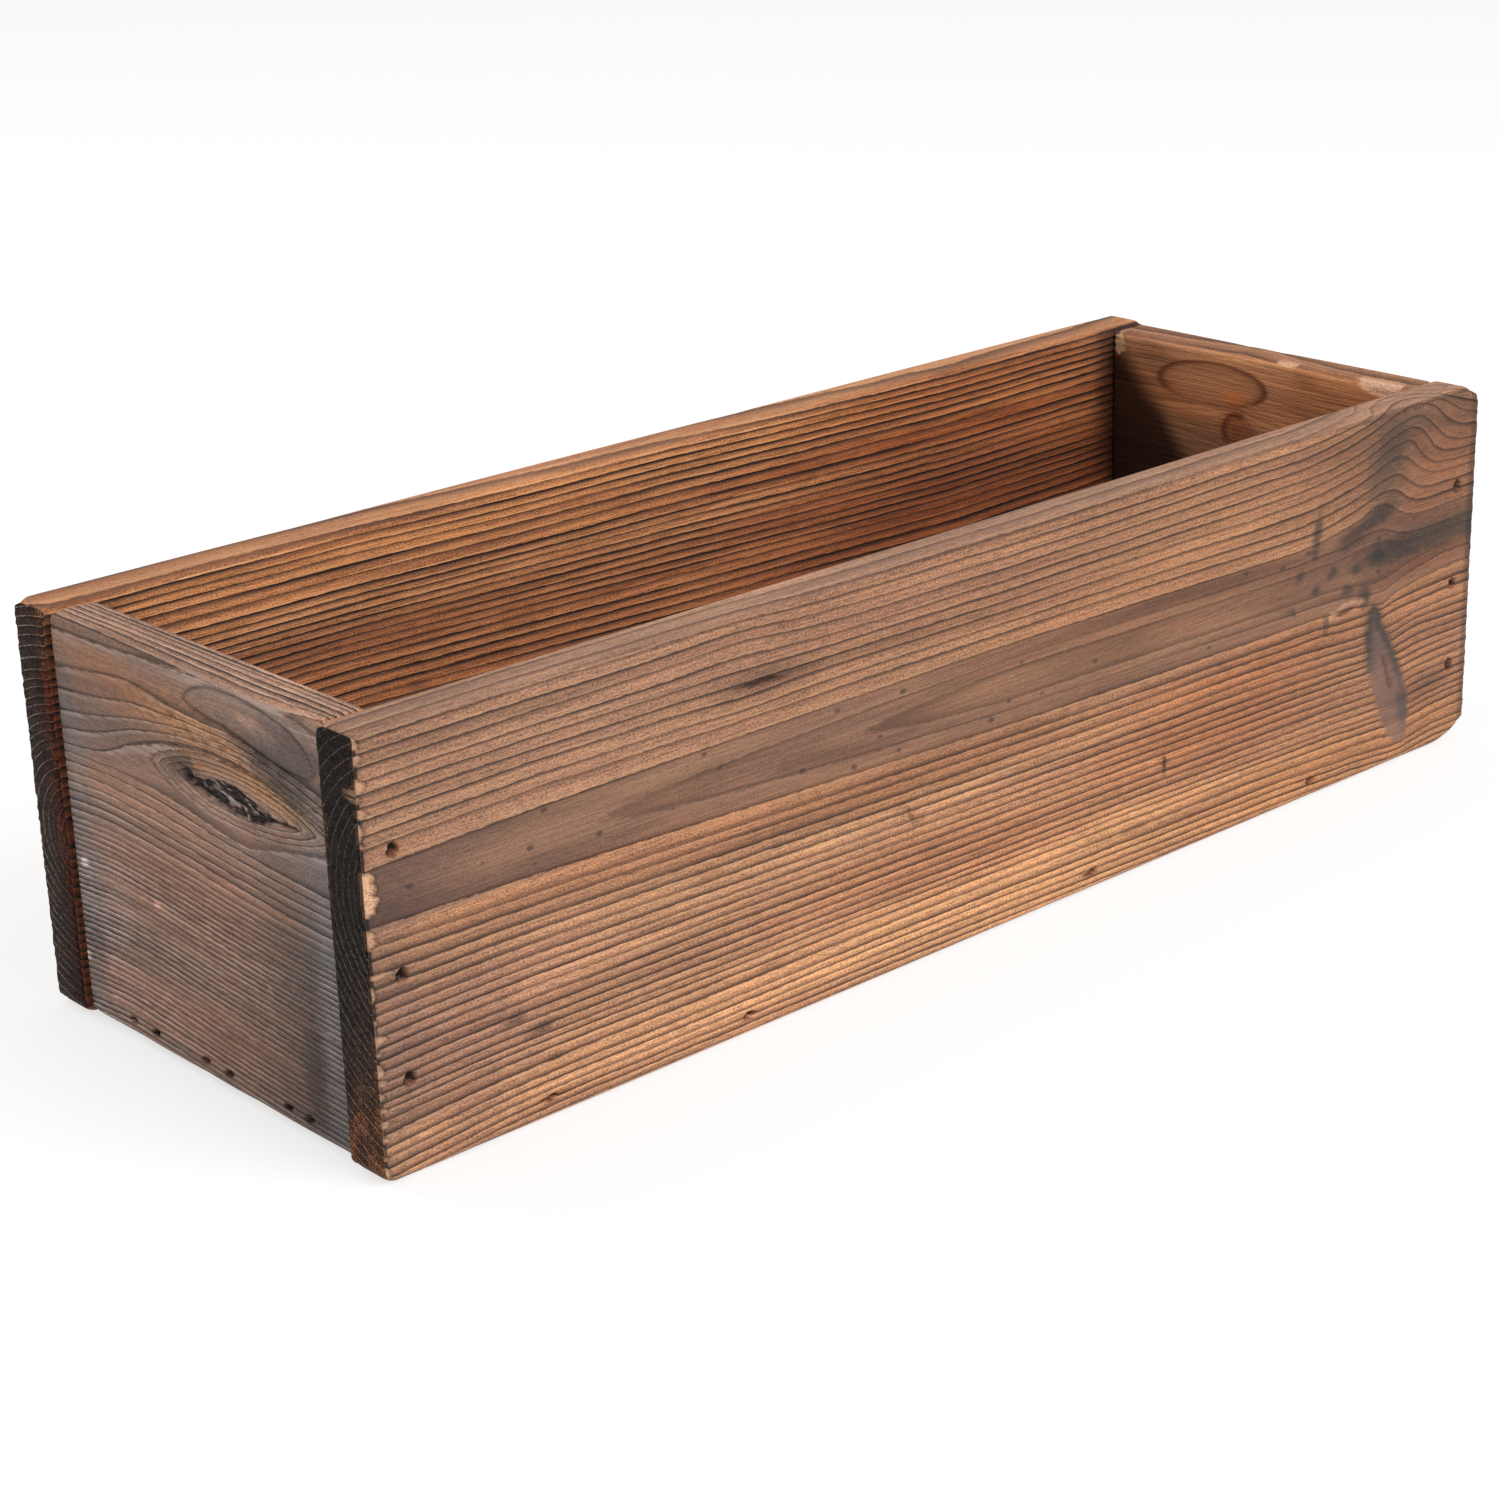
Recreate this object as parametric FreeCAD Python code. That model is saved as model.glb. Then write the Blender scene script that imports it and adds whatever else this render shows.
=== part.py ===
import FreeCAD
import Part

import os

# A trough planter of sawn, scorched softwood boards.
# Two long side boards lap over two end boards, three planks lie between them as a floor with a drain gap
# on each side of the middle plank, and air-driven brads with T heads hold every joint.
# +X runs along the trough, -Y is its front and +Z is up. The origin is on the ground, under its middle.
# All sizes are in millimetres.

# The outside of the trough
outside_length = 436.0
outside_width = 154.0
side_height = 118.0

# Side boards, which run past the end boards
side_thickness = 15.0
side_overhang = 2.0
side_arris_radius = 3.0
side_corner_radius = 5.0

# End boards, cut a little narrower than the side boards
end_thickness = 15.0
end_top_drop = 1.0
end_bottom_lift = 1.0
end_arris_radius = 3.0
end_corner_radius = 2.5

# Floor planks, laid lengthwise
plank_count = 3
plank_thickness = 10.0
plank_lift = 1.0
plank_arris_radius = 1.0
plank_corner_radius = 1.5
drain_gap = 5.0

# The light sanding of every sawn end
saw_cut_radius = 0.8

# Brads: flat wire with a T head and a chisel tip, driven a little below the wood's face. The T lies along
# the wire's height: upright at the corners, and rolled to lie along the grain where brads hold the floor.
brad_length = 32.0
brad_wire_width = 1.4
brad_wire_height = 1.6
brad_head_height = 2.8
brad_head_thickness = 0.8
brad_tip_length = 2.0
brad_tip_edge = 0.4
brad_set_depth = 2.0
brad_clearance = 0.05

# Where the brads are, by eye, as shares: of the side board's height for a corner, of the side board's length
# for a floor brad in a side board, and of its plank's width for the pair in each plank's end
corner_brad_height_shares = (0.225, 0.46, 0.735)
side_floor_brad_shares = (0.121, 0.275, 0.587, 0.818)
plank_brad_pair_shares = ((0.51, 0.76), (0.34, 0.62), (0.12, 0.41))
floor_brad_roll = 90

# How far a cutting solid runs past the face that it opens
cut_overrun = 1.0

parts_folder = "parts"

# Sizes that follow from the ones above
inside_width = outside_width - 2 * side_thickness
end_face_x = outside_length / 2 - side_overhang
inside_length = 2 * (end_face_x - end_thickness)
end_height = side_height - end_top_drop - end_bottom_lift
plank_width = (inside_width - (plank_count - 1) * drain_gap) / plank_count
plank_middle_z = plank_lift + plank_thickness / 2


def block(centre, size):
    """A plain box about a centre."""
    corner = centre - size * 0.5
    return Part.makeBox(size.x, size.y, size.z, corner)


def eased_block(size, along, radius):
    """A box about the origin whose four edges that run along one axis are rounded."""
    plain = block(FreeCAD.Vector(), size)
    edges = []
    for edge in plain.Edges:
        run = edge.Vertexes[1].Point - edge.Vertexes[0].Point
        if run.cross(along).Length < run.Length / 2:
            edges.append(edge)
    return plain.makeFillet(radius, edges)


def board(length, thickness, height, arris_radius, corner_radius):
    """A board about the origin, with its grain along X. It is eased in all three views: its planed edges
    seen from the end, its corners seen from the face, and its saw cuts seen from above."""
    size = FreeCAD.Vector(length, thickness, height)
    seen_from_end = eased_block(size, FreeCAD.Vector(1, 0, 0), arris_radius)
    seen_from_face = eased_block(size, FreeCAD.Vector(0, 1, 0), corner_radius)
    seen_from_above = eased_block(size, FreeCAD.Vector(0, 0, 1), saw_cut_radius)
    return seen_from_end.common(seen_from_face).common(seen_from_above)


def turned(shape, degrees):
    """A copy of the shape, turned about the upright axis through the origin."""
    copy = shape.copy()
    copy.rotate(FreeCAD.Vector(), FreeCAD.Vector(0, 0, 1), degrees)
    return copy


def rolled(shape, degrees):
    """A copy of a brad or a channel, rolled about the line along which it is driven."""
    copy = shape.copy()
    copy.rotate(FreeCAD.Vector(), FreeCAD.Vector(0, 1, 0), degrees)
    return copy


def moved(shape, offset):
    """A copy of the shape, moved."""
    copy = shape.copy()
    copy.translate(offset)
    return copy


def rectangle(width, height, y):
    """A closed rectangle in the plane across a brad at y."""
    corners = [
        FreeCAD.Vector(-width / 2, y, -height / 2),
        FreeCAD.Vector(width / 2, y, -height / 2),
        FreeCAD.Vector(width / 2, y, height / 2),
        FreeCAD.Vector(-width / 2, y, height / 2),
    ]
    return Part.makePolygon(corners + corners[:1])


def brad(gap, head_start):
    """A brad driven along +Y through the face at y = 0, and grown by a gap all round.
    Its head starts at head_start, which opens a channel to the face when that is outside it."""
    head_end = brad_set_depth + brad_head_thickness
    tip_end = brad_set_depth + brad_length
    tip_start = tip_end - brad_tip_length
    width = brad_wire_width + 2 * gap
    wire_height = brad_wire_height + 2 * gap
    head_height = brad_head_height + 2 * gap
    head = Part.Face(rectangle(width, head_height, head_start))
    head = head.extrude(FreeCAD.Vector(0, head_end + gap - head_start, 0))
    wire = Part.Face(rectangle(width, wire_height, head_end))
    wire = wire.extrude(FreeCAD.Vector(0, tip_start - head_end, 0))
    edge_height = brad_tip_edge + 2 * gap
    tip = Part.makeLoft([
        rectangle(width, wire_height, tip_start),
        rectangle(width, edge_height, tip_end + gap),
    ], True)
    return head.fuse([wire, tip]).removeSplitter()


def driven_brad():
    return brad(0.0, brad_set_depth)


def brad_channel():
    """The space that a brad leaves in the wood, with the punched hole over its head."""
    return brad(brad_clearance, -cut_overrun)


# The boards, each in its place
side_board = board(outside_length, side_thickness, side_height, side_arris_radius, side_corner_radius)
side_middle_y = (outside_width - side_thickness) / 2
front_board = moved(side_board, FreeCAD.Vector(0, -side_middle_y, side_height / 2))
back_board = moved(side_board, FreeCAD.Vector(0, side_middle_y, side_height / 2))

end_board = turned(board(inside_width, end_thickness, end_height, end_arris_radius, end_corner_radius), 90)
end_middle_x = end_face_x - end_thickness / 2
end_middle_z = end_bottom_lift + end_height / 2
left_end_board = moved(end_board, FreeCAD.Vector(-end_middle_x, 0, end_middle_z))
right_end_board = moved(end_board, FreeCAD.Vector(end_middle_x, 0, end_middle_z))

plank = board(inside_length, plank_thickness, plank_width, plank_arris_radius, plank_corner_radius)
plank.rotate(FreeCAD.Vector(), FreeCAD.Vector(1, 0, 0), 90)


def plank_front_edge(index):
    """The y of the edge of a plank that faces the front, counted from the front."""
    return -inside_width / 2 + index * (plank_width + drain_gap)


def floor_plank(index):
    """One plank of the floor, counted from the front."""
    return moved(plank, FreeCAD.Vector(0, plank_front_edge(index) + plank_width / 2, plank_middle_z))


# Where brads enter the front board and the left end board, as seen with the trough's front towards you.
# The back and the right end get the same ones, because the trough is turned half round to drive them.
front_face_y = -outside_width / 2
corner_heights = [share * side_height for share in corner_brad_height_shares]
left_corner_entries = [FreeCAD.Vector(-end_middle_x, front_face_y, z) for z in corner_heights]
right_corner_entries = [FreeCAD.Vector(end_middle_x, front_face_y, z) for z in corner_heights]
front_floor_entries = [
    FreeCAD.Vector((share - 0.5) * outside_length, front_face_y, plank_middle_z)
    for share in side_floor_brad_shares
]
left_floor_entries = [
    FreeCAD.Vector(-end_face_x, plank_front_edge(index) + share * plank_width, plank_middle_z)
    for index, pair in zip(range(plank_count), plank_brad_pair_shares)
    for share in pair
]

# Each row of brads: its name, the name of the row opposite, its entries, its roll and the turn that aims it
# inwards
brad_rows = [
    ("front_left_corner_brads", "back_right_corner_brads", left_corner_entries, 0, 0),
    ("front_right_corner_brads", "back_left_corner_brads", right_corner_entries, 0, 0),
    ("front_floor_brads", "back_floor_brads", front_floor_entries, floor_brad_roll, 0),
    ("left_floor_brads", "right_floor_brads", left_floor_entries, floor_brad_roll, -90),
]


def row_of(shape, entries, roll, aim, half_round):
    """Copies of a brad or a channel at each entry, turned with the trough where half_round is 180."""
    aimed = turned(rolled(shape, roll), aim)
    return [turned(moved(aimed, entry), half_round) for entry in entries]


brads = {}
channels = []
for near_name, far_name, entries, roll, aim in brad_rows:
    for name, half_round in ((near_name, 0), (far_name, 180)):
        brads[name] = row_of(driven_brad(), entries, roll, aim, half_round)
        channels += row_of(brad_channel(), entries, roll, aim, half_round)


def with_channels(shape):
    """A board after nailing, with a channel for each brad that enters it."""
    entering = [channel for channel in channels if channel.BoundBox.intersect(shape.BoundBox)]
    return shape.cut(entering)


wood = {
    "front_board": front_board,
    "back_board": back_board,
    "left_end_board": left_end_board,
    "right_end_board": right_end_board,
    "front_floor_plank": floor_plank(0),
    "middle_floor_plank": floor_plank(1),
    "back_floor_plank": floor_plank(2),
}

os.makedirs(parts_folder, exist_ok=True)
for name, shape in wood.items():
    nailed = with_channels(shape)
    nailed.exportStep(f"{parts_folder}/{name}.step")
    print(name, nailed.isValid(), len(nailed.Solids), round(nailed.Volume))
for name, solids in brads.items():
    row = Part.makeCompound(solids)
    row.exportStep(f"{parts_folder}/{name}.step")
    print(name, row.isValid(), len(row.Solids), round(row.Volume, 1))
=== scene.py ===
from math import pi, radians

import bmesh
import bpy
import numpy as np
from mathutils import Matrix, Vector


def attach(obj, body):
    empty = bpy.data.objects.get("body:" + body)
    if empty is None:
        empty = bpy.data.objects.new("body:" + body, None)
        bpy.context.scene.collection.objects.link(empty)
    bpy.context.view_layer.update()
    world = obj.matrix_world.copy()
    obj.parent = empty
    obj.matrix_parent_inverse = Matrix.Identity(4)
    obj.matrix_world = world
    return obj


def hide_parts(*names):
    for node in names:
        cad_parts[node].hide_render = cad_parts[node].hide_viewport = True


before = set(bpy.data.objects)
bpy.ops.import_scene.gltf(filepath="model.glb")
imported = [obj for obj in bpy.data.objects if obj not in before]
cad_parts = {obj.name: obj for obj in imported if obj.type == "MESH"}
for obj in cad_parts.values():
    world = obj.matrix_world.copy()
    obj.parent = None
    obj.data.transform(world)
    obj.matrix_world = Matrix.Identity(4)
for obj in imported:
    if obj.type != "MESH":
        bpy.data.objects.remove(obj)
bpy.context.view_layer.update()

scene = bpy.context.scene
scene.view_settings.view_transform = "Standard"

# Camera: a long lens, looking down on the trough's front left corner from about a metre away.
# Its place, aim and lens follow from the board corners in the photograph.
camera_place = (-0.6056, -0.6534, 0.3716)
camera_heading = radians(41.545)
camera_dip = radians(20.693)
camera_roll = radians(-1.841)

camera_lens = bpy.data.cameras.new("photo_camera")
camera_lens.lens = 76.3
camera_lens.sensor_width = 36.0
camera = bpy.data.objects.new("photo_camera", camera_lens)
camera.matrix_world = (
    Matrix.Translation(camera_place)
    @ Matrix.Rotation(-camera_heading, 4, "Z")
    @ Matrix.Rotation(pi / 2 - camera_dip, 4, "X")
    @ Matrix.Rotation(camera_roll, 4, "Z")
)
scene.collection.objects.link(camera)
scene.camera = camera

# Studio: a pale floor under a white sky, with one large soft lamp in front and a smaller one behind.
# The floor reads as white paper to the camera and keeps a faint shadow under the trough.
sky_strength = 0.5
key_lamp_place = (0.35, -1.7, 1.5)
key_lamp_size = 1.3
key_lamp_watts = 27.0
back_lamp_place = (-0.5, 1.5, 1.7)
back_lamp_size = 1.0
back_lamp_watts = 9.0
floor_size = 14.0
floor_colour = (0.8, 0.8, 0.8, 1.0)
floor_seen_colour = (0.42, 0.42, 0.42, 1.0)
floor_seen_glow = 0.68


def node_of(tree, kind, **settings):
    """A new shader node with its properties set."""
    node = tree.nodes.new(kind)
    for name, value in settings.items():
        setattr(node, name, value)
    return node


def wire(tree, *pairs):
    """Links from output sockets to input sockets."""
    for output, socket in pairs:
        tree.links.new(output, socket)


def empty_tree(owner):
    """The cleared node tree of a material or a world."""
    owner.use_nodes = True
    owner.node_tree.nodes.clear()
    return owner.node_tree


def camera_sees(tree):
    """1 for rays that carry the background straight to the eye: camera, mirror and glass rays."""
    path = node_of(tree, "ShaderNodeLightPath")
    seen = path.outputs["Is Camera Ray"]
    for ray in ("Is Glossy Ray", "Is Transmission Ray"):
        either = node_of(tree, "ShaderNodeMath", operation="MAXIMUM")
        wire(tree, (seen, either.inputs[0]), (path.outputs[ray], either.inputs[1]))
        seen = either.outputs[0]
    return seen


world = bpy.data.worlds.new("white_sky")
scene.world = world
sky = empty_tree(world)
lighting = node_of(sky, "ShaderNodeBackground")
lighting.inputs["Color"].default_value = (1.0, 1.0, 1.0, 1.0)
lighting.inputs["Strength"].default_value = sky_strength
backdrop = node_of(sky, "ShaderNodeBackground")
backdrop.inputs["Color"].default_value = (1.0, 1.0, 1.0, 1.0)
sky_mix = node_of(sky, "ShaderNodeMixShader")
sky_out = node_of(sky, "ShaderNodeOutputWorld")
wire(
    sky,
    (node_of(sky, "ShaderNodeLightPath").outputs["Is Camera Ray"], sky_mix.inputs["Fac"]),
    (lighting.outputs[0], sky_mix.inputs[1]),
    (backdrop.outputs[0], sky_mix.inputs[2]),
    (sky_mix.outputs[0], sky_out.inputs["Surface"]),
)


def soft_lamp(name, place, size, watts):
    """A square softbox aimed at the middle of the trough."""
    lamp_data = bpy.data.lights.new(name, "AREA")
    lamp_data.size = size
    lamp_data.energy = watts
    lamp = bpy.data.objects.new(name, lamp_data)
    lamp.location = place
    lamp.rotation_euler = Vector(place).to_track_quat("Z", "Y").to_euler()
    scene.collection.objects.link(lamp)


soft_lamp("key_lamp", key_lamp_place, key_lamp_size, key_lamp_watts)
soft_lamp("back_lamp", back_lamp_place, back_lamp_size, back_lamp_watts)

paper = bpy.data.materials.new("white_paper")
paper_tree = empty_tree(paper)
paper_lit = node_of(paper_tree, "ShaderNodeBsdfDiffuse")
paper_lit.inputs["Color"].default_value = floor_colour
paper_seen = node_of(paper_tree, "ShaderNodeBsdfDiffuse")
paper_seen.inputs["Color"].default_value = floor_seen_colour
paper_glow = node_of(paper_tree, "ShaderNodeEmission")
paper_glow.inputs["Strength"].default_value = floor_seen_glow
paper_sum = node_of(paper_tree, "ShaderNodeAddShader")
paper_mix = node_of(paper_tree, "ShaderNodeMixShader")
paper_out = node_of(paper_tree, "ShaderNodeOutputMaterial")
wire(
    paper_tree,
    (paper_seen.outputs[0], paper_sum.inputs[0]),
    (paper_glow.outputs[0], paper_sum.inputs[1]),
    (camera_sees(paper_tree), paper_mix.inputs["Fac"]),
    (paper_lit.outputs[0], paper_mix.inputs[1]),
    (paper_sum.outputs[0], paper_mix.inputs[2]),
    (paper_mix.outputs[0], paper_out.inputs["Surface"]),
)


def lay_paper(name, length, width, height, material):
    """A sheet of the studio's paper under the middle of the trough."""
    mesh = bpy.data.meshes.new(name)
    sheet = bmesh.new()
    bmesh.ops.create_grid(sheet, x_segments=1, y_segments=1, size=0.5)
    bmesh.ops.scale(sheet, vec=(length, width, 1), verts=sheet.verts)
    bmesh.ops.translate(sheet, vec=(0, 0, height), verts=sheet.verts)
    sheet.to_mesh(mesh)
    sheet.free()
    mesh.materials.append(material)
    laid = bpy.data.objects.new(name, mesh)
    scene.collection.objects.link(laid)


lay_paper("paper_floor", floor_size, floor_size, 0.0, paper)

# The paper that shows through the drain gaps is in the trough's own shade, so it doesn't glow
shade_length = 0.42
shade_width = 0.12
shade_height = 0.0002
shade = bpy.data.materials.new("paper_in_shade")
shade_tree = empty_tree(shade)
shade_lit = node_of(shade_tree, "ShaderNodeBsdfDiffuse")
shade_lit.inputs["Color"].default_value = floor_colour
shade_out = node_of(shade_tree, "ShaderNodeOutputMaterial")
wire(shade_tree, (shade_lit.outputs[0], shade_out.inputs["Surface"]))
lay_paper("shaded_paper", shade_length, shade_width, shade_height, shade)

# Front board: a flat-sawn softwood board from just beside the tree's pith, which lay in front of its face.
# It is torched, wire-brushed and oiled. Its left end is chipped, and grain swirls round a scar at its right.
# All board sizes below are in millimetres: along the grain, into the board, and up from the table.
millimetre = 0.001


def smooth(value, low, high):
    """0 below low, 1 above high, and a smooth rise between them. Falls instead where low is above high."""
    share = np.clip((value - low) / (high - low), 0.0, 1.0)
    return share * share * (3 - 2 * share)


def hill(value, middle, before, after=None):
    """A smooth bump of height 1. It may be wider after its middle than before."""
    width = np.where(value < middle, before, before if after is None else after)
    return np.exp(-(((value - middle) / width) ** 2))


def cloud(along, up, size, seed):
    """Smooth noise from -1 to 1, in cells of the given size."""
    u, v = along / size[0], up / size[1]
    column, row = np.floor(u), np.floor(v)
    u, v = smooth(u - column, 0, 1), smooth(v - row, 0, 1)

    def corner(right, above):
        mixed = np.sin((column + right) * 127.1 + (row + above) * 311.7 + seed * 74.7) * 43758.5453
        return 2 * (mixed - np.floor(mixed)) - 1

    low = corner(0, 0) * (1 - u) + corner(1, 0) * u
    high = corner(0, 1) * (1 - u) + corner(1, 1) * u
    return low * (1 - v) + high * v


def patch(along, up, middle, reach, tilt=0.0, edge=0.5, ragged=0.0):
    """1 inside an ellipse on the face, 0 outside it. Its edge is soft, and ragged where asked."""
    run, rise = along - middle[0], up - middle[1]
    turn = radians(tilt)
    run, rise = run * np.cos(turn) + rise * np.sin(turn), rise * np.cos(turn) - run * np.sin(turn)
    distance = np.sqrt((run / reach[0]) ** 2 + (rise / reach[1]) ** 2)
    distance = distance + ragged * cloud(along, up, (1.7, 0.9), middle[0])
    return smooth(distance, 1 + edge, 1 - edge)


def stops(start, *stretches):
    """Places of the cuts along one side of a board: from start, each stretch runs to an end in even steps."""
    places = [start]
    for end, step in stretches:
        count = max(1, round((end - places[-1]) / step))
        places += list(np.linspace(places[-1], end, count + 1)[1:])
    return places


def around(stop_list, middles, half_widths):
    """The stops with close ones added on both sides of each middle."""
    extra = [middle + side * half for middle in middles for half in half_widths for side in (-1, 1)]
    kept = [stop for stop in stop_list if all(abs(stop - place) > half_widths[0] / 2 for place in extra)]
    return sorted(kept + extra)


def rounded(first, second, centre, half, radius):
    """Eases the corners of a rectangle of points to arcs, in the plane of two directions."""
    reach_first = np.abs(first - centre[0]) - (half[0] - radius)
    reach_second = np.abs(second - centre[1]) - (half[1] - radius)
    in_corner = (reach_first > 0) & (reach_second > 0)
    longest = np.maximum(reach_first, reach_second)
    length = np.sqrt(reach_first**2 + reach_second**2)
    scale = np.where(in_corner, longest / np.where(length > 0, length, 1), 1)
    eased_first = half[0] - radius + reach_first * scale
    eased_second = half[1] - radius + reach_second * scale
    first = np.where(in_corner, centre[0] + np.sign(first - centre[0]) * eased_first, first)
    second = np.where(in_corner, centre[1] + np.sign(second - centre[1]) * eased_second, second)
    return first, second


def blank_board(name, along_stops, into_stops, up_stops):
    """A box cut into a grid at the stops. Returns its mesh and its points along, into and up."""
    board = bmesh.new()
    bmesh.ops.create_cube(board, size=1.0)
    for axis, places in enumerate((along_stops, into_stops, up_stops)):
        edges = [e for e in board.edges if abs((e.verts[0].co - e.verts[1].co)[axis]) > 0.5]
        bmesh.ops.subdivide_edges(board, edges=edges, cuts=len(places) - 2)
    mesh = bpy.data.meshes.new(name)
    board.to_mesh(mesh)
    board.free()
    points = np.empty(len(mesh.vertices) * 3)
    mesh.vertices.foreach_get("co", points)
    points = points.reshape(-1, 3)
    axes = []
    for axis, places in enumerate((along_stops, into_stops, up_stops)):
        steps = np.rint((points[:, axis] + 0.5) * (len(places) - 1)).astype(int)
        axes.append(np.array(places)[steps])
    return mesh, axes


def eased_board(axes, arris_radius, corner_radius, saw_cut_radius):
    """Rounds a board's long arrises, its corners seen from the face, and its saw cuts."""
    along, into, up = axes
    middles = [(axis.min() + axis.max()) / 2 for axis in axes]
    halves = [(axis.max() - axis.min()) / 2 for axis in axes]
    into, up = rounded(into, up, middles[1:], halves[1:], arris_radius)
    along, up = rounded(along, up, middles[::2], halves[::2], corner_radius)
    along, into = rounded(along, into, middles[:2], halves[:2], saw_cut_radius)
    return along, into, up


def set_points(mesh, points):
    """Moves a mesh's points to new places."""
    mesh.vertices.foreach_set("co", np.ascontiguousarray(points).reshape(-1))
    mesh.update()


def add_board(name, mesh, axes, rings, surface, relief, placing):
    """Finishes a board: relief along its normals, its wood's coordinates, and its place on the trough.
    Surface holds the tint of each point, how hazy, raw, worn smooth and cut across the grain it is, and
    what share of a ring its late wood takes. On a cut end, haze stands for wood that the flame left brown."""
    points = np.stack(axes, axis=1)
    set_points(mesh, points)
    normals = np.empty(points.size)
    mesh.vertices.foreach_get("normal", normals)
    points = points + normals.reshape(-1, 3) * np.minimum(relief, 0)[:, None]
    points = points @ np.array(placing)[:, :3].T + np.array(placing)[:, 3]
    set_points(mesh, points * millimetre)
    if np.linalg.det(np.array(placing)[:, :3]) < 0:
        mesh.flip_normals()
    mesh.polygons.foreach_set("use_smooth", [True] * len(mesh.polygons))
    mesh.attributes.new("rings", "FLOAT", "POINT").data.foreach_set("value", rings)
    mesh.attributes.new("late", "FLOAT", "POINT").data.foreach_set("value", surface["late"])
    tint = np.column_stack((surface["tint"], surface["haze"]))
    mesh.attributes.new("tint", "FLOAT_COLOR", "POINT").data.foreach_set("color", tint.reshape(-1))
    wear = np.column_stack([surface[kind] for kind in ("raw", "worn", "coal", "cut")])
    mesh.attributes.new("wear", "FLOAT_COLOR", "POINT").data.foreach_set("color", wear.reshape(-1))
    grain = np.stack(axes, axis=1) * millimetre
    mesh.attributes.new("grain", "FLOAT_VECTOR", "POINT").data.foreach_set("vector", grain.reshape(-1))
    board = bpy.data.objects.new(name, mesh)
    scene.collection.objects.link(board)
    return board


def plain_surface(axes):
    """A board's surface before its marks. It knows only the sawn ends, the grid's outermost cuts."""
    count = len(axes[0])
    surface = {kind: np.zeros(count) for kind in ("haze", "raw", "worn", "coal")}
    surface["cut"] = np.isclose(np.abs(axes[0]), np.abs(axes[0]).max()).astype(float)
    surface["tint"] = np.ones((count, 3))
    surface["late"] = np.full(count, 0.6)
    return surface


def board_sides(axes, surface, into, up, face_edge):
    """Where a board's sawn ends, face, inner side and top edge are. The face fades over its arris, from
    nothing at face_edge's first depth to the whole at its second."""
    thickness, top = axes[1].max(), axes[2].max()
    on_end = surface["cut"]
    on_face = smooth(into, *face_edge) * (1 - on_end)
    on_inside = smooth(into, thickness - 2.0, thickness - 0.6) * (1 - on_end)
    on_top = smooth(up, top - 2.0, top - 0.4) * (1 - on_end)
    return on_end, on_face, on_inside, on_top


def stain(surface, share, colour):
    """Tints the wood towards a colour, which multiplies its own."""
    surface["tint"] *= 1 - share[:, None] * (1 - np.array(colour))


def stain_all(surface, along, up, on_face, stains):
    """Lays a list of stains on a face: middle, reach, tilt, colour and strength of each."""
    for middle, reach, tilt, colour, strength in stains:
        share = strength * patch(along, up, middle, reach, tilt, edge=0.6, ragged=0.3)
        stain(surface, share * on_face, colour)


def curve_through(stations, heights, along):
    """A smooth curve through heights at stations, evaluated at each place along."""
    stations, heights = np.array(stations, float), np.array(heights, float)
    slopes = np.gradient(heights, stations)
    index = np.clip(np.searchsorted(stations, along) - 1, 0, len(stations) - 2)
    span = stations[index + 1] - stations[index]
    share = np.clip((along - stations[index]) / span, 0, 1)
    start, end = heights[index], heights[index + 1]
    start_slope, end_slope = slopes[index] * span, slopes[index + 1] * span
    square, cube = share**2, share**3
    return (
        start * (2 * cube - 3 * square + 1) + start_slope * (cube - 2 * square + share)
        + end * (3 * square - 2 * cube) + end_slope * (cube - square))


def straightened(along, up, rise):
    """The height that each point's grain would have in straight wood, given how far bends lift it."""
    greatest_rise, halvings = 22.0, 15
    low, high = up - greatest_rise, up + greatest_rise
    for halving in range(halvings):
        middle = (low + high) / 2
        above = middle + rise(along, middle) > up
        low, high = np.where(above, low, middle), np.where(above, middle, high)
    return (low + high) / 2


def ring_relief(rings, depth):
    """Brushed softwood seen across its rings: swollen early wood between creased late wood lines."""
    phase = rings - np.floor(rings)
    crease = hill(phase, 0.93, 0.1, 0.05) + hill(phase, -0.07, 0.1, 0.05)
    return depth * (0.7 * np.sin(np.clip(phase / 0.85, 0, 1) * pi) - 0.7 - crease)


def sink_hole(surface, relief, along, up, on_face, middle, reach, tilt, depth):
    """A ragged brad hole: a pit painted black for its shade, a rust-brown rim, and painted light in
    rust-brown on its lower right wall.
    """
    pit = patch(along, up, middle, reach, tilt, 0.12, 0.2) * on_face
    rim = patch(along, up, middle, (reach[0] + 0.3, reach[1] + 0.3), tilt, 0.3, 0.2) * on_face
    lit_middle = (middle[0] + 0.55 * reach[0], middle[1] - 0.75 * reach[1])
    lit = patch(along, up, lit_middle, (0.6 * reach[0], 0.5 * reach[1]), tilt, 0.3, 0.15) * pit
    surface["haze"] *= 1 - rim
    surface["raw"] *= 1 - pit
    stain(surface, 0.75 * rim, rust)
    # Painted light on the lit wall, and painted shade in black over the rest of the pit
    stain(surface, 0.6 * lit, rust)
    stain(surface, pit * (1 - lit), hole_shade_black)
    relief -= depth * pit


# Stains, as multipliers of the wood's own colour
soot = (0.5, 0.43, 0.42)
smoke = (0.66, 0.7, 0.8)
amber = (1.22, 1.2, 1.08)
russet = (0.95, 0.76, 0.62)
rust = (0.62, 0.36, 0.22)
hole_shade_black = (0.01, 0.008, 0.008)
ash = (0.42, 0.42, 0.46)
charcoal = (0.34, 0.47, 0.58)

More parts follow.
